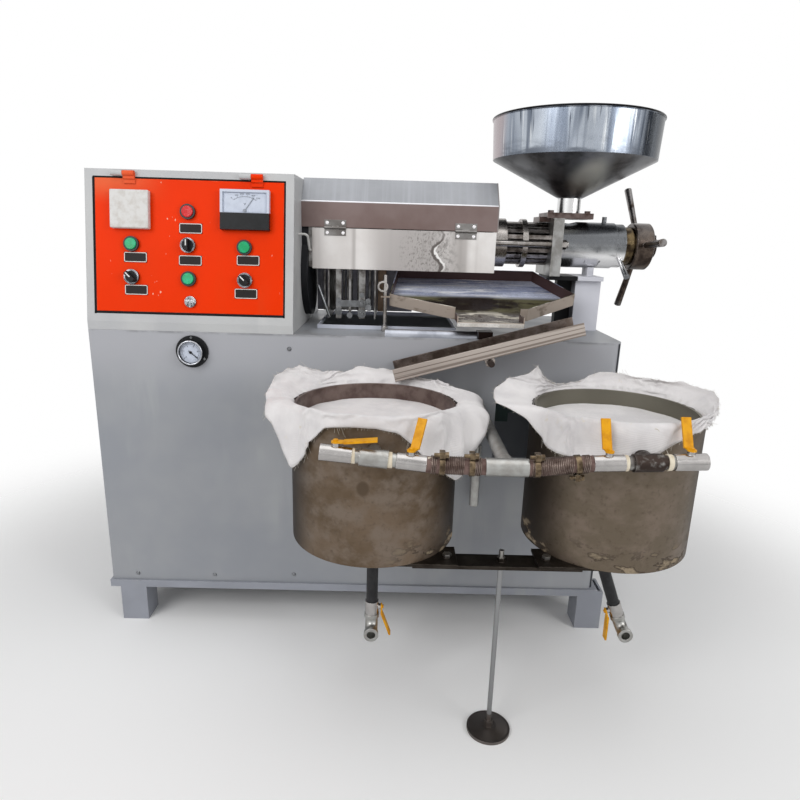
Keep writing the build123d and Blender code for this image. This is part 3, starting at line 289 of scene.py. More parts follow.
housing_grey = enamel("grey_enamel_housing", "#94979D", "#9C9EA2", "#A6A8AA", "#B9BCC2")
tree, place = reopen(housing_grey)
# Painted shade: the housing's inner faces, behind its front and below the deck, are darkened.
inside = add(tree, "ShaderNodeMath", {0: band(tree, place, 1, 3, 6),
                                      1: band(tree, place, 1, 407, 404)},
             operation="MULTIPLY").outputs[0]
inside = times(tree, inside, band(tree, place, 0, 3, 6))
inside = times(tree, inside, band(tree, place, 0, 1057, 1054))
inside = times(tree, inside, band(tree, place, 2, 644.5, 642.5))
lay(tree, inside, "#2B2C31", 0.7)
# Painted light: the housing's front face is lighter from 500 mm up to the deck.
lay(tree, times(tree, band(tree, place, 2, 500, 635), band(tree, place, 1, 6, 3)),
    "#A9AAAF")
oily = times(tree, band(tree, place, 2, 640, 645), patches(tree, place, 60, 0.42, 0.62))
lay(tree, oily, "#8E8F92", 0.3)
pin = times(tree, band(tree, place, 1, -1.5, -2.5), band(tree, place, 2, 595, 600))
lay(tree, pin, "#352C28", 0.4)
# Painted highlight: a thin pale blue-grey line along the deck's front edge.
lay(tree, band(tree, place, 2, 646.8, 647.6), "#C4C8D4", 0.35)
dress(housing_grey, "lower_housing")

frame_grey = enamel("grey_enamel_frame", "#9A9DA6", "#8E9199", "#9A9C9C", "#C2C5CA", 0.5, 1.6, 1.0)
dress(frame_grey, "base_frame")

# Cabinet
# The upper cabinet is lighter grey enamel, almost white on the frame round its door. It stands on
# the housing and leans back at the front.
cabinet_grey = enamel("pale_enamel_cabinet", "#BDBEBE", "#B3B4B6", "#C9C9C8", "#DADCE0", 0.4)
dress(cabinet_grey, "upper_cabinet")

door_orange = enamel("orange_enamel_door", "#EA3500", "#E43400", "#E23C0C", "#EE8A62", 0.4, 2.0, 0.7)
door_orange.node_tree.nodes["shader"].inputs["Specular IOR Level"].default_value = 0.06
tree, place = reopen(door_orange)
glare = times(tree, band(tree, place, 2, 880, 930), band(tree, place, 0, 170, 60))
lay(tree, glare, "#E2633C", 0.5)
nicks = times(tree, patches(tree, place, 5, 0.73, 0.75, (1, 1, 0.4), 1.0),
              patches(tree, place, 60, 0.55, 0.6))
lay(tree, nicks, "#F0B79E")
dress(door_orange, "control_door")

# Control door fittings
# Panel instruments pushed through the door from the front: moulded ABS and phenolic cases, chrome
# rings, acrylic push buttons, and black selector knobs with a white pointer line.


def moulded(name, colour, shade, roughness, grain=0.9, depth=0.03, coat=0.0):
    """Moulded plastic: fine spark-eroded grain, faint flow marks and thumb dirt."""
    material, tree, place, shader = begin(name)
    shader.inputs["Base Color"].default_value = linear(colour)
    shader.inputs["Roughness"].default_value = roughness
    shader.inputs["Specular IOR Level"].default_value = 0.22
    shader.inputs["Coat Weight"].default_value = coat
    lay(tree, patches(tree, place, 14, 0.4, 0.7), shade, min(1.0, roughness + 0.12))
    smooth = add(tree, "ShaderNodeBevel", {"Radius": 0.0007}, samples=4).outputs[0]
    spark = add(tree, "ShaderNodeTexNoise", {"Vector": place, "Scale": per_mm(grain), "Detail": 2.0})
    tree.links.new(relief(tree, spark.outputs[0], depth, smooth), shader.inputs["Normal"])
    return material


def bare_metal(name, colour, shade, roughness, grain=0.5, stretch=(1, 1, 1), depth=0.02, rough_range=0.14,
               edge=0.8, worn=None, blotch=45):
    """Bare metal: two tones in patches, machining or brushing lines, edges rubbed bright."""
    material, tree, place, shader = begin(name)
    shader.inputs["Metallic"].default_value = 1.0
    shader.inputs["Base Color"].default_value = linear(colour)
    lay(tree, patches(tree, place, blotch, 0.36, 0.66), shade)
    drawn = add(tree, "ShaderNodeMapping", {"Vector": place, "Scale": stretch}).outputs[0]
    lines = add(tree, "ShaderNodeTexNoise", {"Vector": drawn, "Scale": per_mm(grain), "Detail": 3.0})
    lines = lines.outputs[0]
    rough = add(tree, "ShaderNodeMapRange", {"Value": lines, "From Min": 0.3, "From Max": 0.7, "To Min":
                max(0.04, roughness - rough_range / 2), "To Max": roughness + rough_range / 2}).outputs[0]
    tree.links.new(rough, shader.inputs["Roughness"])
    edges, smooth = rubbed_edges(tree, edge)
    if worn:
        lay(tree, times(tree, edges, patches(tree, place, 8, 0.35, 0.6)), worn)
    tree.links.new(relief(tree, lines, depth, smooth), shader.inputs["Normal"])
    return material


chrome = bare_metal("chromed_brass", "#BFC1C6", "#A9ABB0", 0.16, 1.5, edge=0.6, depth=0.005)
# The switch rings' chrome is drawn dark grey with darker patches: a painted dark reflection.
ring_chrome = bare_metal("chromed_switch_ring", "#8E9196", "#4A4C50", 0.2, 1.5, edge=0.8, depth=0.005,
                         worn="#D2D4D8", blotch=12)
dress(ring_chrome, "switch_rings")
dress(moulded("white_abs_controller", "#D3D2D0", "#C4C0BB", 0.5, 1.6, 0.12), "controller")
meter_case = moulded("black_phenolic_case", "#101113", "#16181B", 0.3, 0.9, 0.01)
dress(meter_case, "voltmeter_case")
dress(moulded("red_acrylic_button", "#D0141C", "#B30D13", 0.25, 2, 0.01, 0.15), "red_button")
dress(moulded("green_acrylic_button", "#0A9A5E", "#0CAE7C", 0.25, 2, 0.01, 0.15),
      "green_button_left", "green_button_right", "green_button_lower")
knob_black = moulded("black_nylon_knob", "#0F0F11", "#17171A", 0.45)
dress(knob_black, "selector_upper", "selector_left", "selector_right")
label_black = moulded("black_anodised_label", "#181312", "#211B19", 0.5, 0.5, 0.01)
dress(label_black, "label_plates")
dress(moulded("black_painted_needle", "#121212", "#1A1A1A", 0.4), "gauge_needle")
dress(moulded("grey_painted_needle", "#8E939C", "#9A9FA8", 0.5), "voltmeter_needle")
dress(bare_metal("chromed_lock", "#C9CCD0", "#232428", 0.18, 1.0, edge=1.0, worn="#E4E5E8", blotch=9),
      "door_lock")

lean = math.radians(9.6)


def on_front(x, v, n):
    """A point on the leaning front: mm along X, up the slope from its fold, and out from it."""
    return at(x, v * math.sin(lean) - n * math.cos(lean), 663 + v * math.cos(lean) + n * math.sin(lean))


# The slope's own directions: right, up the slope, and out towards the viewer.
front_turn = Matrix(((1, 0, 0), (0, math.sin(lean), -math.cos(lean)), (0, math.cos(lean), math.sin(lean))))
upright_turn = Matrix(((1, 0, 0), (0, 0, -1), (0, 1, 0)))


def set_on(bm, turn, centre):
    """Turns and moves a bmesh drawn in mm on its own flat onto a face of the object."""
    bmesh.ops.scale(bm, verts=bm.verts, vec=(0.001, 0.001, 0.001))
    bmesh.ops.rotate(bm, verts=bm.verts, matrix=turn)
    bmesh.ops.translate(bm, verts=bm.verts, vec=centre)


def bar(bm, x, y, width, height, thick, turn=0.0):
    """A small bar lying on the drawing flat."""
    made = bmesh.ops.create_cube(bm, size=1.0)["verts"]
    bmesh.ops.scale(bm, verts=made, vec=(width, height, thick))
    bmesh.ops.rotate(bm, verts=made, matrix=Matrix.Rotation(turn, 3, "Z"))
    bmesh.ops.translate(bm, verts=made, vec=(x, y, thick / 2))


def drawn_mesh(curve):
    """The mesh that Blender draws for a curve or for text."""
    carrier = bpy.data.objects.new("carrier", curve)
    bpy.context.scene.collection.objects.link(carrier)
    drawn = bpy.data.meshes.new_from_object(carrier)
    bpy.data.objects.remove(carrier)
    return drawn


def numeral(bm, words, size, x, y, thick=0.12):
    """Printed figures, centred on a point of the drawing flat."""
    line = bpy.data.curves.new("numeral", "FONT")
    line.body = words
    line.size = size
    line.align_x = "CENTER"
    line.align_y = "CENTER"
    line.extrude = thick / 2
    line.resolution_u = 2
    printed = drawn_mesh(line)
    printed.transform(Matrix.Translation((x, y, thick / 2)))
    bm.from_mesh(printed)


tree, place = reopen(meter_case)
lay(tree, band(tree, place, 2, 874.2, 874.8), "#C3CAD8", 0.4)
tree, place = reopen(ring_chrome)
for x, v in ((198, 213), (89, 149.5), (307, 148.5), (199, 85.5)):
    lay(tree, near(tree, place, on_front(x, v, 2), 19, 1), "#17191B", 0.5, 0.0)

dial_ink = moulded("grey_dial_ink", "#5F646D", "#6A6F78", 0.6, depth=0.0)
black_ink = moulded("black_dial_ink", "#15171C", "#1D2026", 0.6, depth=0.0)
dial_card = moulded("white_dial_card", "#C5CCDA", "#BCC3D1", 0.5, 0.6, 0.01)

# A black strip lies in the gap round the door, wider at its left and bottom: painted shade for the dark gap.
bm = bmesh.new()
for x, v, wide, tall in ((17.0, 144.5, 4.4, 260.0), (384.4, 144.5, 3.0, 260.0), (200.8, 17.4, 369.6, 4.4),
                         (200.8, 275.0, 369.6, 2.6)):
    bar(bm, x, v, wide, tall, 1.2)
set_on(bm, front_turn, on_front(0, 0, -1.0))
gap_black = moulded("black_gap_shade", "#0E0F11", "#18191B", 0.8)
gap_strip = add_object("door_gap_shade", solid_mesh("door_gap_shade", bm), gap_black)
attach(gap_strip, "machine")

# Each selector knob has a white line let into its grip.
pointer_white = moulded("white_pointer_line", "#E3E3E1", "#D2D2D0", 0.5, depth=0.0)
for name, x, v, turn in (("selector_upper", 198, 149.5, 0), ("selector_left", 89, 86.5, 45),
                         ("selector_right", 308, 85.5, 45)):
    bm = bmesh.new()
    bar(bm, 0, 3.6, 2.3, 11.5, 0.4)
    bmesh.ops.rotate(bm, verts=bm.verts, matrix=Matrix.Rotation(math.radians(turn), 3, "Z"))
    set_on(bm, front_turn, on_front(x, v, 17.3))
    pointer = add_object(name + "_line", solid_mesh(name + "_line", bm), pointer_white)
    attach(pointer, name)

# Voltmeter dial
# A printed card behind the clear front: a scale arc with ticks and figures over the needle's pivot,
# held by two small screws. The case's lower part is glossy black.
dial_width, dial_height, pivot_v = 82.0, 36.0, 217.0
bm = bmesh.new()
bar(bm, 0, 0, dial_width, dial_height, 0.4)
bmesh.ops.bevel(bm, geom=[e for e in bm.edges if abs(e.verts[0].co.z - e.verts[1].co.z) > 0.1],
                offset=2.0, segments=4, profile=0.5, affect="EDGES", material=-1)
set_on(bm, front_turn, on_front(309, 232, 8.05))
card = add_object("voltmeter_dial", solid_mesh("voltmeter_dial", bm, 20), dial_card)
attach(card, "door")

bm = bmesh.new()
scale_radius, pivot_drop = 27.0, 232.0 - pivot_v
sweep = math.radians(84)
edge = [bm.verts.new((0, scale_radius + r, 0)) for r in (-0.25, 0.25)]
line = bm.edges.new(edge)
bmesh.ops.rotate(bm, verts=bm.verts, matrix=Matrix.Rotation(sweep / 2, 3, "Z"))
bmesh.ops.spin(bm, geom=edge + [line], cent=(0, 0, 0), axis=(0, 0, 1), angle=-sweep, steps=40)
for step in range(26):
    turn = sweep / 2 - sweep * step / 25
    long = 3.4 if step % 5 == 0 else 1.8
    mid = scale_radius + long / 2
    bar(bm, -math.sin(turn) * mid, math.cos(turn) * mid, 0.45 if long > 2 else 0.28, long, 0.1, turn)
for step in range(6):
    turn = sweep / 2 - sweep * step / 5
    far = scale_radius + 5.8
    numeral(bm, str(step * 100), 4.2, -math.sin(turn) * far, math.cos(turn) * far)
numeral(bm, "V", 7.0, 0, 12.0)
bmesh.ops.translate(bm, verts=bm.verts, vec=(0, -pivot_drop, 0))
bmesh.ops.scale(bm, verts=bm.verts, vec=(1.16, 0.92, 1))
set_on(bm, front_turn, on_front(309, 232, 8.5))
ink = add_object("voltmeter_scale", solid_mesh("voltmeter_scale", bm), dial_ink)
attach(ink, "door")

# Vacuum gauge
# A black pressed steel flange with a chromed bezel round a white dial, printed with a scale from 0
# at the top left down to the right. Three screws hold the flange.
gauge_black = moulded("black_enamel_gauge", "#131416", "#1D1E20", 0.4, 1.2, 0.02)
dress(gauge_black, "gauge_case")
gauge_mid = at(202, -11.15, 607)
bm = bmesh.new()
bmesh.ops.create_circle(bm, cap_ends=True, segments=64, radius=21.3)
bmesh.ops.solidify(bm, geom=bm.faces[:], thickness=0.2)
bmesh.ops.recalc_face_normals(bm, faces=bm.faces)
set_on(bm, upright_turn, gauge_mid)
card = add_object("gauge_dial", solid_mesh("gauge_dial", bm), dial_card)
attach(card, "machine")

bm = bmesh.new()
gauge_sweep = math.radians(270)
for step in range(41):
    turn = gauge_sweep / 2 - gauge_sweep * step / 40
    long = 3.6 if step % 8 == 0 else 2.0
    mid = 20.0 - long / 2
    bar(bm, -math.sin(turn) * mid, math.cos(turn) * mid, 0.6 if long > 3 else 0.35, long, 0.12, turn)
for step in range(6):
    turn = gauge_sweep / 2 - gauge_sweep * step / 5
    numeral(bm, str(step * 2), 4.0, -math.sin(turn) * 13.4, math.cos(turn) * 13.4)
edge = [bm.verts.new((0, 16.0 + r, 0)) for r in (-0.2, 0.2)]
line = bm.edges.new(edge)
bmesh.ops.rotate(bm, verts=edge, matrix=Matrix.Rotation(gauge_sweep / 2, 3, "Z"))
bmesh.ops.spin(bm, geom=edge + [line], cent=(0, 0, 0), axis=(0, 0, 1), angle=-gauge_sweep, steps=60)
set_on(bm, upright_turn, at(202, -11.4, 607))
ink = add_object("gauge_scale", solid_mesh("gauge_scale", bm), black_ink)
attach(ink, "machine")


def turned_ring(radius, wire, steps=64):
    """A round-section ring lying on the drawing flat."""
    bm = bmesh.new()
    bmesh.ops.create_circle(bm, segments=12, radius=wire)
    bmesh.ops.rotate(bm, verts=bm.verts, matrix=Matrix.Rotation(math.radians(90), 3, "X"))
    bmesh.ops.translate(bm, verts=bm.verts, vec=(radius, 0, 0))
    bmesh.ops.spin(bm, geom=bm.verts[:] + bm.edges[:], cent=(0, 0, 0), axis=(0, 0, 1),
                   angle=math.radians(360), steps=steps, use_merge=True)
    bmesh.ops.recalc_face_normals(bm, faces=bm.faces)
    return bm


bm = turned_ring(23.0, 1.5)
set_on(bm, upright_turn, at(202, -16.2, 607))
bezel = add_object("gauge_bezel", solid_mesh("gauge_bezel", bm), chrome)
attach(bezel, "machine")

# Label plates
# Small engraved aluminium plates, anodised black, riveted under each switch. Each has a thin white
# rounded border, and its field is bare.


def join_in(bm, other):
    """Adds a finished bmesh to another."""
    ready = bpy.data.meshes.new("ready")
    other.to_mesh(ready)
    other.free()
    bm.from_mesh(ready)


border_white = moulded("white_engraved_border", "#E6E2DF", "#DAD5D1", 0.6, depth=0.0)
bm = bmesh.new()
for x, v in ((203, 182), (96, 124.5), (202, 121), (314, 124), (97, 62), (310, 60)):
    plate = bmesh.new()
    bmesh.ops.create_grid(plate, x_segments=1, y_segments=1, size=0.5)
    bmesh.ops.scale(plate, verts=plate.verts, vec=(43.6, 18.6, 1))
    bmesh.ops.bevel(plate, geom=plate.verts[:], offset=3.2, segments=5, profile=0.5, affect="VERTICES",
                    material=-1)
    border = bmesh.ops.inset_region(plate, faces=plate.faces[:], thickness=1.4, use_boundary=True)["faces"]
    bmesh.ops.delete(plate, geom=[f for f in plate.faces if f not in border], context="FACES")
    bmesh.ops.solidify(plate, geom=plate.faces[:], thickness=0.15)
    bmesh.ops.recalc_face_normals(plate, faces=plate.faces)
    set_on(plate, front_turn, on_front(x, v, 1.35))
    join_in(bm, plate)
borders = add_object("label_borders", solid_mesh("label_borders", bm), border_white)
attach(borders, "door")

# Panel screws
# Zinc-plated pan heads on the front panels and on the gauge.
zinc = bare_metal("zinc_plated_steel", "#8D8F92", "#6B6C6D", 0.34, 1.2, edge=0.6, worn="#B4B6B9")
dress(zinc, "panel_screws")

# Hood and guard flap
# The hood is folded from brushed sheet steel. The flap below it is polished stainless steel on two
# butt hinges, blued and browned by heat on its left, and hand-marked.
hood_steel = bare_metal("brushed_steel_hood", "#939599", "#898B8F", 0.5, 0.8, (1, 1, 0.03), 0.015, 0.12,
                        1.6, "#D9DADD", 160)
tree, place = reopen(hood_steel)
tree.nodes["shader"].inputs["Metallic"].default_value = 0.6
lay(tree, patches(tree, place, 9, 0.4, 0.8, (1, 0.02, 0.02), 2.0), "#96989D")
# Painted reflection: the hood's front band is brown-grey, with darker patches, the colour of what it
# reflects.
front_band = band(tree, place, 2, 905, 903)
lay(tree, front_band, "#80706D", 0.4)
lay(tree, times(tree, front_band, patches(tree, place, 150, 0.4, 0.65)), "#74625E")
# Painted highlight: a thin bright line along the fold above the front band.
lay(tree, near(tree, place, at(0, 131, 905), 0.9, 0.9, (0, 1, 1)), "#E4E4E8", 0.3)
end_face = band(tree, place, 0, 811, 813)
lay(tree, end_face, "#8B8584")
dress(hood_steel, "hood")

flap_steel = bare_metal("polished_stainless_flap", "#E9E6E4", "#DCD8D5", 0.34, 0.5, (1, 1, 0.03), 0.006,
                        0.1, 0.8, "#F0EFEE", 90)
tree, place = reopen(flap_steel)
tree.nodes["shader"].inputs["Metallic"].default_value = 0.7
# Painted reflection: broad and narrow vertical bands of darker grey on the polished flap.
lay(tree, patches(tree, place, 70, 0.36, 0.64, (1, 1, 0.03), 0.0), "#BCB7B4")
lay(tree, patches(tree, place, 26, 0.55, 0.8, (1, 1, 0.03), 1.0), "#A8A3A0")
lay(tree, near(tree, place, at(640, 131, 770), 30, 90, (1, 1, 0.4)), "#B2ADAB")
height = add(tree, "ShaderNodeSeparateXYZ", {0: place}).outputs[2]
wave = add(tree, "ShaderNodeMath", {0: height, 1: 95.0}, operation="MULTIPLY").outputs[0]
wave = add(tree, "ShaderNodeMath", {0: wave}, operation="SINE").outputs[0]
wave = add(tree, "ShaderNodeMath", {0: wave, 1: 0.011}, operation="MULTIPLY").outputs[0]
wave = add(tree, "ShaderNodeCombineXYZ", {0: wave}).outputs[0]
cloud = add(tree, "ShaderNodeTexNoise", {"Vector": place, "Scale": per_mm(16), "Detail": 2.0})
cloud = add(tree, "ShaderNodeVectorMath", {0: cloud.outputs["Color"], 1: (0.016, 0, 0.016)},
            operation="MULTIPLY").outputs[0]
bent = add(tree, "ShaderNodeVectorMath", {0: place, 1: wave}, operation="ADD").outputs[0]
bent = add(tree, "ShaderNodeVectorMath", {0: bent, 1: cloud}, operation="ADD").outputs[0]
crystals = patches(tree, place, 10, 0.47, 0.62, (1, 1, 0.7), 6.0)
lay(tree, times(tree, crystals, near(tree, bent, at(700, 131, 815), 26, 34, (1, 1, 0.8))), "#A19D9A")
lay(tree, times(tree, patches(tree, place, 4, 0.52, 0.6, (1, 1, 0.6), 8.0),
                near(tree, place, at(665, 131, 808), 30, 40)), "#8C8885")
lay(tree, near(tree, bent, at(696, 131, 806), 3.0, 3.5, (1, 1, 0.09)), "#67615E", 0.4)
# Painted highlight: a light stroke beside the dark mark.
lay(tree, near(tree, bent, at(701, 131, 806), 1.4, 2.0, (1, 1, 0.09)), "#EFEDEB", 0.4)
dress(flap_steel, "guard_flap")
hinge_steel = bare_metal("pressed_steel_hinge", "#8E8C8A", "#6F6B68", 0.35, 0.8, edge=0.7, worn="#BDBCBB")
tree, place = reopen(hinge_steel)
# Painted highlights: small bright spots on the hinge knuckles.
for x in (456, 489, 730, 763):
    for height in (862.25, 842.25):
        lay(tree, near(tree, place, at(x, 129, height), 3.2, 0.4, (1, 0.3, 1)), "#F4F2F4", 0.16)
dress(hinge_steel, "hood_hinge_leaves", "flap_hinge_leaves")

# Gear motor and pump
# Cast iron gearbox with the motor behind the cabinet, and the vacuum pump inside the housing: both
# in machine enamel, with a rough sand-cast skin.
cast_black = enamel("black_enamel_casting", "#17181B", "#1F2023", "#36363B", "#4A4A50", 0.5, 2.5)
dress(cast_black, "gear_motor")
dress(enamel("green_enamel_pump", "#4D5F5A", "#57696A", "#6E7B76", "#8A948F", 0.5, 2.5), "vacuum_pump")

# Press
# A hardened worm turns inside a cage of bars held in rings between the discharge plates and the
# feed flange. All of it is machined steel, dark with seed oil where it isn't rubbed. The feed
# housing's dark bands and bright lines are painted shade, a painted highlight and a painted reflection.
dress(bare_metal("hardened_worm_steel", "#8B8580", "#6A635C", 0.3, 0.8, (0.1, 1, 1)), "press_screw")
dress(bare_metal("ground_bar_steel", "#A39D9A", "#57504B", 0.28, 0.6, (0.05, 1, 1), 0.02, 0.16, 0.8,
                 "#D9D7D5", 22), "cage_bars")
dress(bare_metal("turned_ring_steel", "#B0ABA7", "#857F7A", 0.26, 0.5, (1, 0.1, 0.1), 0.02, 0.16, 0.9,
                 "#E2E0DE", 30), "cage_rings")
plate_steel = bare_metal("plate_steel_discharge", "#9A9998", "#504B47", 0.36, 0.8, (0.4, 1, 1), 0.03,
                         0.16, 1.2, "#CFCECD", 26)
dress(plate_steel, "discharge_frame")
dress(bare_metal("milled_steel_flange", "#A3A3A2", "#7F7D7A", 0.42, 0.9, (1, 1, 0.2), 0.03, 0.14, 1.3,
                 "#D9D9D6", 34), "feed_flange")
dress(bare_metal("drawn_steel_rods", "#B3AFAC", "#7E7873", 0.24, 0.5, (0.05, 1, 1), edge=0.7,
                 worn="#DEDCDA"), "tie_rods")
turned_grey = bare_metal("turned_steel_housing", "#9FA1A3", "#7B7D7F", 0.26, 0.4, (1, 0.08, 0.08), 0.012,
                         0.14, 1.4, "#DFE0E1", 36)
tree, place = reopen(turned_grey)
# Painted shade: the feed housing is darker below 775 mm and above 822 mm. Painted reflection: a light line
# at 722 mm. Painted highlight: a bright band at 800 mm.
lay(tree, band(tree, place, 2, 775, 735), "#4B4D50")
lay(tree, near(tree, place, at(0, 0, 722), 3, 6, (0, 0, 1)), "#9FA1A4")
lay(tree, band(tree, place, 2, 822, 840), "#6C6E71")
lay(tree, near(tree, place, at(0, 90, 800), 7, 16, (0, 0, 1)), "#F2F2F3", 0.24)
lay(tree, patches(tree, place, 9, 0.62, 0.7, (1, 0.3, 0.3)), "#5C5E62")
dress(turned_grey, "feed_housing", "lock_ring")
dress(bare_metal("oiled_steel_sleeve", "#6E5F46", "#33291F", 0.26, 0.5, (1, 0.1, 0.1), 0.02, 0.14, 0.8,
                 "#A08F6A", 20), "choke_sleeve")
hub_steel = bare_metal("dark_steel_hub", "#5B5048", "#352D29", 0.3, 0.6, (1, 0.15, 0.15), 0.02, 0.14, 1.6,
                       "#A49C96", 22)
tree, place = reopen(hub_steel)
away = add(tree, "ShaderNodeVectorMath", {0: place, 1: at(1138, 205, 780)}, operation="SUBTRACT").outputs[0]
away = add(tree, "ShaderNodeVectorMath", {0: away, 1: (0, 1, 1)}, operation="MULTIPLY").outputs[0]
away = add(tree, "ShaderNodeVectorMath", {0: away}, operation="LENGTH").outputs["Value"]
tips = add(tree, "ShaderNodeMapRange", {"Value": away, "From Min": 0.075, "From Max": 0.14}).outputs[0]
lay(tree, times(tree, tips, patches(tree, place, 30, 0.3, 0.55)), "#8E8B8A")
dress(hub_steel, "adjusting_hub")
post_enamel = enamel("pale_enamel_post", "#D2D3DB", "#C4C5CD", "#C6C6CA", "#D9DADE", 0.42, 1.6)
dress(post_enamel, "support_post")
tree, place = reopen(post_enamel)
lay(tree, band(tree, place, 0, 998, 996), "#121214", 0.5)

# Discharge guards
# Flat bars of cold rolled steel are bolted upright on a sheet behind the discharge plates, with a
# bright rail and clamp nuts at their feet. A brown-stained bar closes them off on the right.
# Painted light: the sheet's grey is drawn lighter than the steel's own, for the shade it stands in behind
# the discharge plates.
guard_grey = bare_metal("cold_rolled_guard_sheet", "#B1AFBB", "#8E8D99", 0.5, 0.8, (1, 1, 0.05), 0.02,
                        0.1, 0.8, "#D0CFD6", 30)
guard_grey.node_tree.nodes["shader"].inputs["Metallic"].default_value = 0.2
guard_brown = bare_metal("stained_guard_bar", "#A8917F", "#86705F", 0.5, 0.8, (1, 1, 0.05), edge=0.8,
                         worn="#B9A798")


def box(bm, low, high):
    """A square-cut block from one corner to the other, in mm."""
    made = bmesh.ops.create_cube(bm, size=1.0)["verts"]
    bmesh.ops.scale(bm, verts=made, vec=[b - a for a, b in zip(low, high)])
    bmesh.ops.translate(bm, verts=made, vec=[(a + b) / 2 for a, b in zip(low, high)])


def in_frame(bm):
    """Moves a bmesh drawn in mm into the frame's metres."""
    for v in bm.verts:
        v.co = at(*v.co)


def uprights(name, material, boxes):
    """Square-cut bars, each from one corner to the other, as one piece on the discharge frame."""
    bm = bmesh.new()
    for low, high in boxes:
        box(bm, low, high)
    bmesh.ops.bevel(bm, geom=bm.edges[:], offset=0.6, segments=1, profile=0.5, affect="EDGES", material=-1)
    in_frame(bm)
    piece = add_object(name, solid_mesh(name, bm), material)
    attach(piece, "machine")


deck_z, bar_top, sheet_y = 664, 850, 275
uprights("guard_sheet", guard_grey, [((417, sheet_y, deck_z), (589, sheet_y + 2, 888)),
                                     ((588, sheet_y, deck_z), (642, sheet_y + 2, 772))])
bar_places = ((432, 438, 268), (444, 450, 268), (456, 474, 266), (479, 482, 268), (487, 491, 268),
              (497, 500, 268), (512, 520, 266), (526, 529, 268), (538, 544, 266), (550, 554, 268))
uprights("guard_bars", plate_steel, [((x0, y, deck_z), (x1, sheet_y, bar_top)) for x0, x1, y in bar_places]
         + [((436, 258, 668), (512, 268, 677))])
uprights("guard_end_bar", guard_brown, [((560, 262, deck_z), (580, sheet_y, bar_top))])
bm = bmesh.new()
for x, z, width, tall in ((478, 676, 9, 7), (478, 676, 4, 16), (478, 700, 6, 5), (502.5, 668, 7, 6),
                          (529, 672, 10, 7), (529, 672, 4.5, 18), (529, 694, 9, 7), (529, 694, 4, 14),
                          (529, 712, 6, 5), (543, 700, 6, 6), (543, 686, 8, 6)):
    made = bmesh.ops.create_cone(bm, cap_ends=True, segments=6, radius1=width, radius2=width,
                                 depth=tall)["verts"]
    bmesh.ops.rotate(bm, verts=made, matrix=Matrix.Rotation(math.radians(90), 3, "X"))
    bmesh.ops.translate(bm, verts=made, vec=(x, 153 - tall / 2, z))
box(bm, (472, 152.5, 686), (548, 155.5, 700))
made = bmesh.ops.create_cone(bm, cap_ends=True, segments=16, radius1=3, radius2=3, depth=72)["verts"]
bmesh.ops.rotate(bm, verts=made, matrix=Matrix.Rotation(math.radians(-20), 3, "Y"))
bmesh.ops.translate(bm, verts=made, vec=(446, 150, 698))
in_frame(bm)
nuts = add_object("guard_nuts", solid_mesh("guard_nuts", bm, 30), zinc)
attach(nuts, "machine")

# Hopper
# Spun from stainless sheet and polished: a wide band, a cone welded under it and a short neck, with
# a wired rim that has gone dark. Its reflections, shade and highlights are painted into its colour.
# The clamp plate holds the neck on the feed flange.
hopper_steel = bare_metal("polished_stainless_hopper", "#B9C0C9", "#A3AAB5", 0.27, 0.5, (1, 1, 0.04), 0.004,
                          0.06, 1.0, None, 140)
tree, place = reopen(hopper_steel)
wall_mask = band(tree, place, 2, 1003, 1005)
# Painted reflections: vertical strips in four tones on the band, and its lower part darker with patches.
for size, low, high, tone in ((60, 0.44, 0.6, "#8A929F"), (20, 0.5, 0.66, "#6E7683"),
                              (12, 0.6, 0.7, "#DCE0E4"), (7, 0.6, 0.72, "#4B525D")):
    reflection_strips = patches(tree, place, size, low, high, (1, 1, 0.012), 2.0)
    lay(tree, times(tree, wall_mask, reflection_strips), tone)
lay(tree, times(tree, band(tree, place, 2, 1040, 1006),
                patches(tree, place, 24, 0.4, 0.6, (0.25, 0.25, 1))), "#6A707A")
# Painted shade: the band's right side is dark. Painted reflection: its left side is pinkish.
right_turn = band(tree, place, 0, 1075, 1118)
lay(tree, times(tree, wall_mask, right_turn), "#353B42")
left_turn = band(tree, place, 0, 822, 808)
lay(tree, times(tree, wall_mask, left_turn), "#A79C9F")
lay(tree, band(tree, place, 2, 1083.2, 1084.2), "#121315", 0.35)
# Painted shade and reflection: the cone is darker grey with dark patches. Painted highlight: a bright oval
# low on it. The neck below 930 mm is painted bright as a painted reflection.
cone_mask = band(tree, place, 2, 1004.5, 1003)
cone_mask = times(tree, cone_mask, band(tree, place, 2, 928, 932))
lay(tree, cone_mask, "#88898C", 0.3)
lay(tree, times(tree, cone_mask, patches(tree, place, 60, 0.4, 0.66, (1, 1, 0.5))), "#505053")
highlight_oval = near(tree, place, at(985, 120, 965), 16, 34, (1, 0.3, 1.2))
lay(tree, times(tree, cone_mask, highlight_oval), "#E2DFD4")
lay(tree, band(tree, place, 2, 930, 927), "#DADADA", 0.22)
dress(hopper_steel, "hopper")
dress(bare_metal("stained_steel_clamp", "#6A5E5B", "#453834", 0.38, 0.8, edge=1.2, worn="#A89A95",
                 blotch=22), "hopper_clamp")

# Oil tray and tipping chute
# Bent up from stainless sheet. The tray is glazed with old oil, olive in the middle; at the back it is
# painted lighter and bluish as painted light and a painted sheen, and its glints are painted highlights;
# the chute has dull brushed walls with brown rims.
tray_steel = bare_metal("oiled_stainless_tray", "#7E7A78", "#67615C", 0.26, 0.6, (0.06, 1, 1), 0.01, 0.12,
                        1.1, "#5E4A44", 60)
tree, place = reopen(tray_steel)
tree.nodes["shader"].inputs["Metallic"].default_value = 0.3
tree.nodes["shader"].inputs["Specular IOR Level"].default_value = 0.3
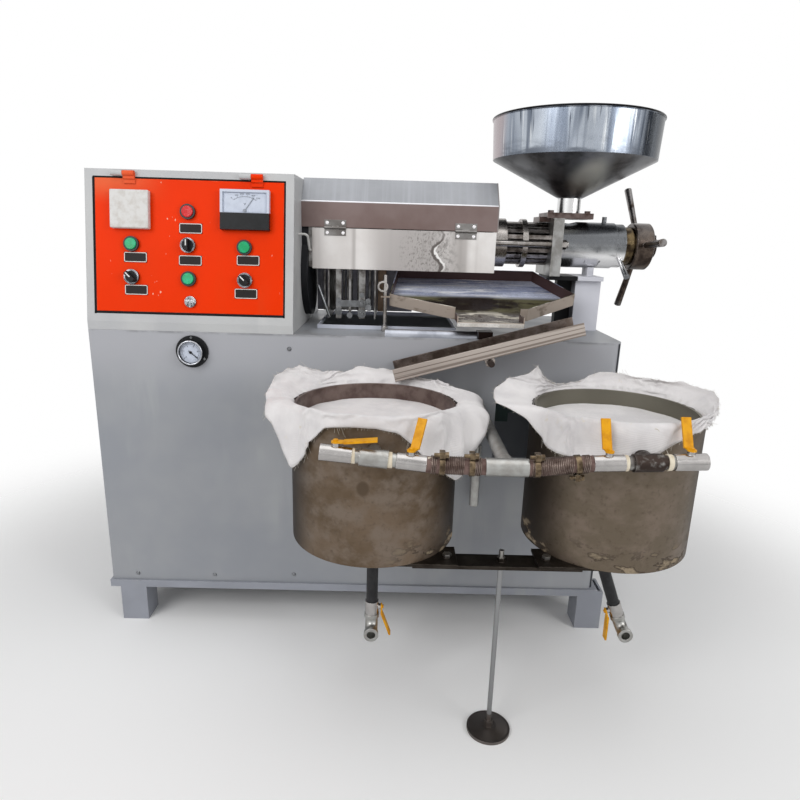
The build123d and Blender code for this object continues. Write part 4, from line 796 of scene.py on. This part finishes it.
# Painted light and sheen: the back of the tray is lighter and bluish, with blue-grey streaks and bright
# painted highlights.
back = band(tree, place, 1, 115, 140)
lay(tree, back, "#CDD4EA")
lay(tree, times(tree, back, patches(tree, place, 24, 0.42, 0.62, (0.08, 1, 1))), "#8C95B4")
lay(tree, times(tree, back, patches(tree, place, 9, 0.54, 0.62, (0.1, 1, 1))), "#F4F6FC", 0.16)
middle_band = times(tree, band(tree, place, 1, 140, 120), band(tree, place, 1, 45, 70))
lay(tree, middle_band, "#6E6A50", 0.16)
lay(tree, times(tree, middle_band, patches(tree, place, 60, 0.42, 0.55, (0.4, 1, 1))), "#2E2622", 0.14)
glints = times(tree, band(tree, place, 1, 70, 45), patches(
    tree, place, 16, 0.5, 0.58, (0.3, 1, 1)))
lay(tree, glints, "#E0DACB", 0.16)
lay(tree, times(tree, patches(tree, place, 40, 0.58, 0.7), band(tree, place, 1, 100, 60)),
    "#3A2C27", 0.14)
facing = add(tree, "ShaderNodeSeparateXYZ", {0: add(tree, "ShaderNodeNewGeometry").outputs["Normal"]})
upright = add(tree, "ShaderNodeMapRange", {"Value": facing.outputs[2], "From Min": 0.7, "From Max": 0.5})
lay(tree, upright.outputs[0], "#4A3533", 0.4)
wall_mask = add(tree, "ShaderNodeMapRange", {"Value": facing.outputs[1], "From Min": -0.5,
                                             "From Max": -0.7}).outputs[0]
wall_mask = times(tree, wall_mask, band(tree, place, 1, 120, 110))
lay(tree, wall_mask, "#B3A69A", 0.42)
lay(tree, times(tree, wall_mask, patches(tree, place, 30, 0.5, 0.6, (0.3, 1, 1))), "#8C7F73")
dress(tray_steel, "oil_tray")
bm = bmesh.new()
box(bm, (722.5, -27.2, 674.75), (851.5, -25.6, 682.25))
in_frame(bm)
lip_steel = bare_metal("polished_lip_edge", "#E4E1DC", "#C9C4BD", 0.3, 0.8, edge=0.5, blotch=30)
lip_steel.node_tree.nodes["shader"].inputs["Metallic"].default_value = 0.4
apron = add_object("tray_lip_edge", solid_mesh("tray_lip_edge", bm), lip_steel)
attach(apron, "machine")

chute_steel = bare_metal("brushed_stainless_chute", "#A0958F", "#6F635B", 0.32, 0.5, (0.05, 1, 1), 0.015,
                         0.14, 1.2, "#4A3A33", 40)
tree, place = reopen(chute_steel)
facing = add(tree, "ShaderNodeSeparateXYZ", {0: add(tree, "ShaderNodeNewGeometry").outputs["Normal"]})
front_wall = add(tree, "ShaderNodeMapRange", {"Value": facing.outputs[1], "From Min": -0.6,
                                              "From Max": -0.8}).outputs[0]
front_wall = times(tree, front_wall, band(tree, place, 1, -20, -25))
lay(tree, front_wall, "#C0B6AE", 0.42)
chute_tilt = math.radians(15.6)
along = add(tree, "ShaderNodeMapping", {"Vector": place, "Rotation": (0, chute_tilt, 0)}).outputs[0]
lay(tree, times(tree, front_wall, patches(tree, along, 4, 0.52, 0.6, (0.004, 1, 1), 1.0)), "#8F847C")
dress(chute_steel, "tipping_chute")

# Filter barrels
# Rolled and welded from mild steel and left bare. The plate has gone brown all over in clouds
# and is caked with dried meal near the bottom edge; each barrel is darker at its flanks as painted shade.
barrel_steel = bare_metal("browned_mild_steel", "#6B5B4B", "#574735", 0.46, 2.4, (0.2, 0.2, 1), 0.06, 0.12,
                          1.6, "#8F8372", 90)
tree, place = reopen(barrel_steel)
tree.nodes["shader"].inputs["Metallic"].default_value = 0.45
tree.nodes["shader"].inputs["Specular IOR Level"].default_value = 0.3
across = add(tree, "ShaderNodeSeparateXYZ", {0: place}).outputs[0]
barrel_left_x, barrel_right_x, barrel_y = 573, 981, -205
offsets = []
for centre in (barrel_left_x, barrel_right_x):
    offset = add(tree, "ShaderNodeMath", {0: across, 1: at(centre, 0, 0).x}, operation="SUBTRACT").outputs[0]
    offsets.append(add(tree, "ShaderNodeMath", {0: offset}, operation="ABSOLUTE").outputs[0])
aside = add(tree, "ShaderNodeMath", {0: offsets[0], 1: offsets[1]}, operation="MINIMUM").outputs[0]
# Painted shade: each barrel is darker towards its flanks.
shaded_flank = add(tree, "ShaderNodeMapRange", {"Value": aside, "From Min": 0.085, "From Max": 0.139},
            interpolation_type="SMOOTHSTEP").outputs[0]
right_one = band(tree, place, 0, 760, 800)
lay(tree, right_one, "#655A4C")
lay(tree, patches(tree, place, 34, 0.4, 0.7, (0.8, 0.8, 1)), "#73665A", 0.4)
lay(tree, patches(tree, place, 9, 0.5, 0.9, detail=10.0), "#4E4236", 0.55)
lay(tree, times(tree, shaded_flank, patches(tree, place, 160, 0.1, 0.4)), "#2A231D", 0.55)
lower = band(tree, place, 2, 395, 345)
from_middle = add(tree, "ShaderNodeMath", {0: across, 1: at(777, 0, 0).x}, operation="SUBTRACT").outputs[0]
inner_side = times(tree, lower, add(tree, "ShaderNodeMapRange", {"Value": from_middle, "From Min": -0.19,
                                                                 "From Max": -0.13}).outputs[0])
crust = times(tree, inner_side, patches(tree, place, 22, 0.56, 0.66, (0.5, 0.5, 1), 8.0))
outline = times(tree, inner_side, patches(tree, place, 22, 0.54, 0.57, (0.5, 0.5, 1), 8.0))
lay(tree, outline, "#3A3028", 0.8, 0.0)
lay(tree, crust, "#8F816C", 0.9, 0.0)
# Painted shade: a black disc stands in for a hole's dark inside.
hole_shade = near(tree, place, at(1003, -344, 551), 7, 2.5)
lay(tree, hole_shade, "#0E0B0A", 0.8, 0.0)
spot = near(tree, place, at(560, -345, 470), 7, 5, (1, 1, 0.8))
lay(tree, spot, "#544638", 0.6)
dress(barrel_steel, "barrels")
dress(bare_metal("perforated_steel_plate", "#8A8681", "#6F6A64", 0.4, 1.0), "filter_plates")
ring_steel = bare_metal("browned_steel_ring", "#7F706A", "#645551", 0.4, 1.2, (0.3, 0.3, 1), 0.03, 0.16,
                        0.9, "#9A8C84", 30)
tree, place = reopen(ring_steel)
lay(tree, band(tree, place, 0, 760, 800), "#7C796E", 0.4)
dress(ring_steel, "filter_ring_left", "filter_ring_right")

# Barrel supports and leg
# Flat bar brackets and gussets, rusted brown, on one galvanised threaded leg with a heavy turned
# foot of oily iron.
support_steel = bare_metal("rusted_flat_bar", "#3B3631", "#2A2521", 0.5, 1.5, edge=1.0, worn="#6C655E",
                           blotch=24)
tree, place = reopen(support_steel)
leg_mask = near(tree, place, at(786, -305, 180), 11, 1.0, (1, 1, 0))
leg_mask = times(tree, leg_mask, band(tree, place, 2, 30, 34))
leg_mask = times(tree, leg_mask, band(tree, place, 2, 325, 322))
lay(tree, leg_mask, "#8F9091", 0.4)
lay(tree, band(tree, place, 2, 34, 30), "#6E6864", 0.36)
lay(tree, band(tree, place, 2, 338.5, 339.5), "#9C9A96", 0.35)
dress(support_steel, "barrel_supports")

# Vacuum pipework
# Half-inch fittings screwed together along the barrels' fronts: nickelled ball valves with vinyl
# levers, galvanised tees, thread tape at the joints and rubber hose held by bolt clamps.
valve_nickel = bare_metal("nickelled_brass_valve", "#B2AFAD", "#A6A3A1", 0.24, 1.2, (0.1, 1, 1), 0.008, 0.08,
                          0.9, "#DAD8D6", 20)
dress(valve_nickel, "valve_bodies")
galvanised = bare_metal("galvanised_iron", "#A9A9A6", "#989692", 0.38, 3.0, edge=1.4, depth=0.04,
                        worn="#C8C7C4", blotch=16)
tree, place = reopen(galvanised)
grime = times(tree, band(tree, place, 0, 930, 955),
              band(tree, place, 0, 1012, 1002))
lay(tree, times(tree, grime, patches(tree, place, 20, 0.25, 0.5)), "#3D3430", 0.5)
dress(galvanised, "pipe_fittings")
hose_rubber = moulded("aged_rubber_hose", "#75605A", "#54413C", 0.6, 1.5, 0.06)
dress(hose_rubber, "vacuum_hoses")
dress(bare_metal("yellow_zinc_clamp", "#7C6C56", "#483C30", 0.36, 1.0, edge=0.7, worn="#B5AA96",
                 blotch=10), "hose_clamps")
lever_yellow = moulded("yellow_vinyl_sleeve", "#E0A010", "#C8860C", 0.4, 2.0, 0.02)
dress(lever_yellow, "valve_lever_1", "valve_lever_2", "valve_lever_3", "valve_lever_4",
      "drain_lever_left", "drain_lever_right")
dress(moulded("black_drain_pipe", "#222224", "#2E2E30", 0.4, 1.5, 0.03), "drain_pipes")
dress(moulded("white_pvc_cable", "#D6D6D4", "#C2C1BC", 0.45), "heater_cable")
deck_steel = bare_metal("drawn_steel_strip", "#A7AAB2", "#8B8E96", 0.36, 1.2, edge=1.0, worn="#CDD0D6")
tree, place = reopen(deck_steel)
lay(tree, band(tree, place, 0, 765, 769), "#2B211E", 0.5)
dress(deck_steel, "deck_fittings")

manifold_y = -378
bm = bmesh.new()
for x, wide, size in ((547, 6, 11.6), (600, 7, 12.0), (657, 5, 11.8), (940, 6, 12.0), (1003, 7, 12.2)):
    made = bmesh.ops.create_cone(bm, cap_ends=True, segments=28, radius1=size, radius2=size - 0.3,
                                 depth=wide)["verts"]
    bmesh.ops.rotate(bm, verts=made, matrix=Matrix.Rotation(math.radians(90), 3, "Y"))
    bmesh.ops.translate(bm, verts=made, vec=(x, 0, 0))
knots = ((499, 540), (652, 525), (738, 523), (800, 523), (893, 532), (1057, 539))


def manifold_height(x):
    """Height of the manifold's centre line, in mm."""
    for (x0, z0), (x1, z1) in zip(knots, knots[1:]):
        if x <= x1:
            return z0 + (z1 - z0) * (x - x0) / (x1 - x0)
    return knots[-1][1]


for v in bm.verts:
    wobble = 1 + 0.03 * noise.noise(v.co * 0.4)
    v.co = at(v.co.x, manifold_y + v.co.y * wobble, manifold_height(v.co.x) + v.co.z * wobble)
tape_white = moulded("ptfe_thread_tape", "#DDD3BF", "#C9BBA3", 0.7, 1.2, 0.12)
tape = add_object("thread_tape", solid_mesh("thread_tape", bm), tape_white)
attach(tape, "machine")

bm = bmesh.new()
wire_pitch = 2.6
for x0, x1, radius in ((660, 668, 13.2), (682, 710, 12.9), (720, 734, 13.1), (805, 811, 13.1),
                       (818, 866, 12.9), (878, 889, 13.1)):
    for turn in range(int((x1 - x0) / wire_pitch)):
        loop = turned_ring(radius, 0.75, 24)
        bmesh.ops.rotate(loop, verts=loop.verts, matrix=Matrix.Rotation(math.radians(94), 3, "Y"))
        x = x0 + wire_pitch * turn
        bmesh.ops.translate(loop, verts=loop.verts, vec=(x, manifold_y, manifold_height(x)))
        join_in(bm, loop)
in_frame(bm)
wire_steel = bare_metal("annealed_binding_wire", "#8C7E76", "#5F5049", 0.4, 1.0, blotch=12)
wire = add_object("hose_binding", solid_mesh("hose_binding", bm, 80), wire_steel)
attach(wire, "machine")

# Filter cloths
# A square of cotton canvas lies in each barrel under its ring, goes over the rim and hangs outside.
# Its stiff margin stands up at the back, flares at the sides and falls into folds at the front.


def between(stops, turn):
    """Values read between stops round a circle, each (degrees, value, value)."""
    turn = (turn - stops[0][0]) % 360 + stops[0][0]
    ends = stops + [(stops[0][0] + 360, *stops[0][1:])]
    for low, high in zip(ends, ends[1:]):
        if turn <= high[0]:
            part = (turn - low[0]) / (high[0] - low[0])
            return [a + (b - a) * part for a, b in zip(low[1:], high[1:])]
    return list(stops[0][1:])


canvas, tree, place, shader = begin("cotton_canvas")
shader.inputs["Base Color"].default_value = linear("#E9E6E6")
shader.inputs["Roughness"].default_value = 0.92
shader.inputs["Specular IOR Level"].default_value = 0.15
shader.inputs["Sheen Weight"].default_value = 0.25
shader.inputs["Sheen Roughness"].default_value = 0.5
woven = add(tree, "ShaderNodeUVMap", uv_map="flat").outputs[0]
lay(tree, patches(tree, place, 70, 0.4, 0.68), "#DAD7D8")
lay(tree, patches(tree, place, 18, 0.64, 0.78), "#DDD5C6")
# Threads stand 0.7 mm apart and are drawn 1.4 mm apart, or the weave wouldn't show.
wave_scale = per_mm(1.4) * 0.314
warp, weft = (add(tree, "ShaderNodeTexWave", {"Vector": woven, "Scale": wave_scale, "Distortion": 0.4},
                  bands_direction=way).outputs["Fac"] for way in "XY")
weave = add(tree, "ShaderNodeMath", {0: warp, 1: weft}, operation="ADD").outputs[0]
gaps = add(tree, "ShaderNodeMapRange", {"Value": weave, "From Min": 0.2, "From Max": 0.9, "To Min": 0.3,
                                        "To Max": 0.0}).outputs[0]
lay(tree, gaps, "#B5B1AE")
plain = add(tree, "ShaderNodeNewGeometry").outputs["Normal"]
# Soft creases 55 mm and 22 mm apart stay in the stiff cotton from where it was folded.
bent = plain
for size, depth in ((55, 5.0), (22, 1.2)):
    cloud = add(tree, "ShaderNodeTexNoise", {"Vector": woven, "Scale": per_mm(size), "Detail": 1.0})
    cloud = add(tree, "ShaderNodeMath", {0: cloud.outputs["Fac"], 1: 0.5}, operation="SUBTRACT").outputs[0]
    cloud = add(tree, "ShaderNodeMath", {0: cloud}, operation="ABSOLUTE").outputs[0]
    bent = relief(tree, cloud, depth, bent)
tree.links.new(relief(tree, weave, 0.25, bent, 0.6), shader.inputs["Normal"])

# In metres: the filter plate's and the rim's heights, and the radii of the canvas inside the rim
# and outside the barrel.
cell_count = 72
plate_z, rim_z, wall_radius, outer_radius = 0.5391, 0.5695, 0.1366, 0.1438


def canvas_square(name, centre, side, edge, seed):
    """Lays a flat square over the plate, up the wall and over the rim, then lets it settle."""
    middle = at(centre[0], centre[1], 0)
    bm = bmesh.new()
    bmesh.ops.create_grid(bm, x_segments=cell_count, y_segments=cell_count, size=side / 2)
    flat = [v.co.copy() for v in bm.verts]
    pinned = []
    wall_top = wall_radius + (rim_z - plate_z)
    for v, start in zip(bm.verts, flat):
        reach = start.length
        heading = math.atan2(start.y, start.x)
        out_radius, out_height = between(edge, math.degrees(heading))
        # At the front the loose margin bulges above the rim before it turns down.
        bulge = 0.015 * max(0.0, -math.sin(heading)) ** 0.6
        grain = Vector((start.x * 1000, start.y * 1000, seed))
        if reach <= wall_radius:
            r, z = reach, plate_z + 0.0012 * (1 + noise.noise(grain * 0.03))
        elif reach <= wall_top:
            part = (reach - wall_radius) / (wall_top - wall_radius)
            r, z = wall_radius, plate_z + part * (rim_z + bulge - plate_z)
        else:
            margin = side / 2 / max(abs(math.cos(heading)), abs(math.sin(heading))) - wall_top
            u = (reach - wall_top) / margin
            r0, z0 = wall_radius, rim_z + bulge + 0.001
            r1, z1 = out_radius / 1000, out_height / 1000
            rc = r0 + 0.8 * (r1 - r0) + 0.004
            zc = z0 + 0.3 * max(0.0, z1 - z0) + 0.006
            r = (1 - u) ** 2 * r0 + 2 * u * (1 - u) * rc + u * u * r1
            z = (1 - u) ** 2 * z0 + 2 * u * (1 - u) * zc + u * u * z1
            loose = min(1.0, u * margin / 0.04) * min(1.0, abs(r1 - r0) / 0.03 + abs(z1 - z0) / 0.06)
            pleat = noise.noise(Vector((heading * 4.2, reach * 9, seed))) * 0.014
            pleat += noise.noise(Vector((heading * 9, reach * 22, seed + 5))) * 0.004
            pleat += (abs(noise.noise(grain * 0.03)) - 0.2) * 0.007 + noise.noise(grain * 0.11) * 0.0005
            dropped = min(1.0, max(0.0, (z0 - z) / 0.04))
            r += loose * pleat * (0.45 + 0.55 * dropped)
            z += loose * pleat * (1 - dropped) * 0.5
            if z < rim_z + 0.003:
                r = max(r, outer_radius)
        v.co = Vector((middle.x + r * math.cos(heading), middle.y + r * math.sin(heading), z))
        pinned.append(1.0 if reach <= wall_top + 0.006 else 0.45)
    mesh = bpy.data.meshes.new(name)
    bm.to_mesh(mesh)
    bm.free()
    uv = mesh.uv_layers.new(name="flat")
    for loop in mesh.loops:
        uv.data[loop.index].uv = flat[loop.vertex_index].xy
    mesh.shade_smooth()
    cloth = add_object(name, mesh, canvas)
    settle(cloth, pinned, middle)
    return cloth, flat


def settle(cloth, pinned, middle):
    """Runs the cloth simulation over the barrel and pipes and keeps its result."""
    group = cloth.vertex_groups.new(name="held")
    for index, weight in enumerate(pinned):
        group.add([index], weight, "REPLACE")
    barrel_low, barrel_tall = 0.337, 0.231
    bm = bmesh.new()
    made = bmesh.ops.create_cone(bm, cap_ends=True, segments=96, radius1=0.1415, radius2=0.1415,
                                 depth=barrel_tall)["verts"]
    bmesh.ops.translate(bm, verts=made, vec=(middle.x, middle.y, barrel_low + barrel_tall / 2))
    made = bmesh.ops.create_cone(bm, cap_ends=True, segments=20, radius1=0.0135, radius2=0.0135,
                                 depth=0.60)["verts"]
    bmesh.ops.rotate(bm, verts=made, matrix=Matrix.Rotation(math.radians(90), 3, "Y"))
    bmesh.ops.translate(bm, verts=made, vec=at(778, manifold_y, 529))
    block = add_object("settle_block", solid_mesh("settle_block", bm), canvas)
    block.modifiers.new("hit", "COLLISION")
    block.collision.thickness_outer = 0.002
    block.collision.thickness_inner = 0.004
    block.collision.cloth_friction = 12.0
    sim = cloth.modifiers.new("sim", "CLOTH")
    sim.settings.quality = 7
    sim.settings.mass = 0.15
    sim.settings.air_damping = 3.0
    sim.settings.tension_stiffness = 25
    sim.settings.compression_stiffness = 25
    sim.settings.shear_stiffness = 8
    sim.settings.bending_stiffness = 3.0
    sim.settings.vertex_group_mass = "held"
    sim.settings.pin_stiffness = 1.0
    sim.settings.effector_weights.gravity = 0.35
    sim.collision_settings.distance_min = 0.0025
    sim.collision_settings.collision_quality = 3
    sim.collision_settings.use_self_collision = True
    sim.collision_settings.self_distance_min = 0.002
    last_frame = 14
    sim.point_cache.frame_start = 1
    sim.point_cache.frame_end = last_frame
    for number in range(1, last_frame + 1):
        bpy.context.scene.frame_set(number)
    depsgraph = bpy.context.evaluated_depsgraph_get()
    settled = bpy.data.meshes.new_from_object(cloth.evaluated_get(depsgraph), depsgraph=depsgraph)
    cloth.modifiers.clear()
    cloth.vertex_groups.clear()
    old = cloth.data
    cloth.data = settled
    bpy.data.meshes.remove(old)
    bpy.data.objects.remove(block)
    bpy.context.scene.frame_set(1)


def finish_canvas(cloth, flat, seed):
    """Gives the settled square its thickness, and returns the threads that hang from its cut edges."""
    rng = random.Random(seed)
    strands = bpy.data.curves.new("strands", "CURVE")
    strands.dimensions = "3D"
    strands.bevel_depth = 0.0002
    strands.bevel_resolution = 0
    half = max(c.x for c in flat)
    where = {(round(c.x, 5), round(c.y, 5)): i for i, c in enumerate(flat)}
    step = 2 * half / cell_count
    on_edge = half - 1e-5
    for index, start in enumerate(flat):
        if max(abs(start.x), abs(start.y)) < on_edge:
            continue
        inner = tuple(round(c - math.copysign(step, c) if abs(c) > on_edge else c, 5) for c in start.xy)
        if inner not in where:
            continue
        edge_point = cloth.data.vertices[index].co
        out = (edge_point - cloth.data.vertices[where[inner]].co).normalized()
        for thread in range(3):
            length = rng.uniform(0.0008, 0.003) if rng.random() < 0.97 else rng.uniform(0.006, 0.014)
            along = Vector((rng.uniform(-1, 1), rng.uniform(-1, 1), rng.uniform(-1, 1))) * 0.0018
            spline = strands.splines.new("POLY")
            spline.points.add(3)
            bend = Vector((rng.uniform(-0.5, 0.5), rng.uniform(-0.5, 0.5), rng.uniform(-0.7, 0.1)))
            for number, point in enumerate(spline.points):
                part = number / 3
                co = edge_point + along - out * 0.001 + out * length * part
                point.co = (*(co + bend * length * part * part * 0.6), 1)
    fringe = add_object(cloth.name + "_fringe", drawn_mesh(strands), thread_cotton)
    smoother = cloth.modifiers.new("smoother", "SUBSURF")
    smoother.levels = 1
    smoother.render_levels = 1
    wall = cloth.modifiers.new("wall", "SOLIDIFY")
    wall.thickness = 0.0007
    wall.offset = 0.0
    return fringe


thread_cotton = moulded("loose_cotton_thread", "#D9D3C8", "#C7BFB2", 0.9, depth=0.0)
# Each cloth: name, barrel's centre, side, seed, and its edge as (degrees round, mm out, mm high).
cloth_facts = (
    ("canvas_left", (barrel_left_x, barrel_y), 0.40, 11,
     [(15, 196, 563), (30, 188, 571), (50, 160, 581), (70, 157, 590), (90, 156, 593), (110, 157, 592),
      (130, 164, 594), (143, 188, 600), (152, 192, 601), (165, 189, 590), (180, 187, 567), (195, 176, 545),
      (205, 164, 505), (212, 153, 477), (220, 149, 498), (230, 148, 532), (241, 146.5, 561), (254, 146, 568),
      (272, 146, 568), (285, 146.5, 560), (294, 147, 540), (305, 149, 509), (318, 152, 484), (328, 158, 464),
      (336, 168, 474), (345, 185, 522), (355, 188, 552)]),
    ("canvas_right", (barrel_right_x, barrel_y), 0.40, 23,
     [(8, 172, 593), (20, 176, 597), (38, 162, 601), (60, 156, 599), (82, 154, 599), (94, 153, 592),
      (101, 152, 578), (112, 151, 579), (121, 150, 584), (129, 148, 592), (134, 147, 606), (139, 150, 624),
      (145, 162, 612), (152, 184, 600), (162, 200, 591), (173, 206, 583), (184, 208, 577), (191, 190, 572),
      (196, 166, 560), (201, 154, 536), (208, 151, 522), (222, 150, 518), (240, 149, 518),
      (255, 148, 523), (270, 147, 535), (285, 147, 553), (300, 147.5, 563), (318, 150, 567), (333, 158, 585),
      (345, 162, 588), (355, 170, 591)]))
for name, centre, side, seed, edge in cloth_facts:
    cloth, flat = canvas_square(name, centre, side, edge, seed)
    fringe = finish_canvas(cloth, flat, seed)
    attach(cloth, "machine")
    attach(fringe, "machine")
    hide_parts("filter_cloths")

thread = bpy.data.curves.new("loose_thread", "CURVE")
thread.dimensions = "3D"
thread.bevel_depth = 0.0006
thread.bevel_resolution = 1
spline = thread.splines.new("NURBS")
spline.points.add(6)
thread_spots = ((984, -349, 575), (990, -352, 582), (996, -351, 573), (1001, -350, 562), (1008, -349, 551),
                (1012, -350, 541), (1019, -349, 532))
for point, spot in zip(spline.points, thread_spots):
    point.co = (*at(*spot), 1)
spline.use_endpoint_u = True
strand = add_object("loose_thread", drawn_mesh(thread), thread_cotton)
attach(strand, "machine")
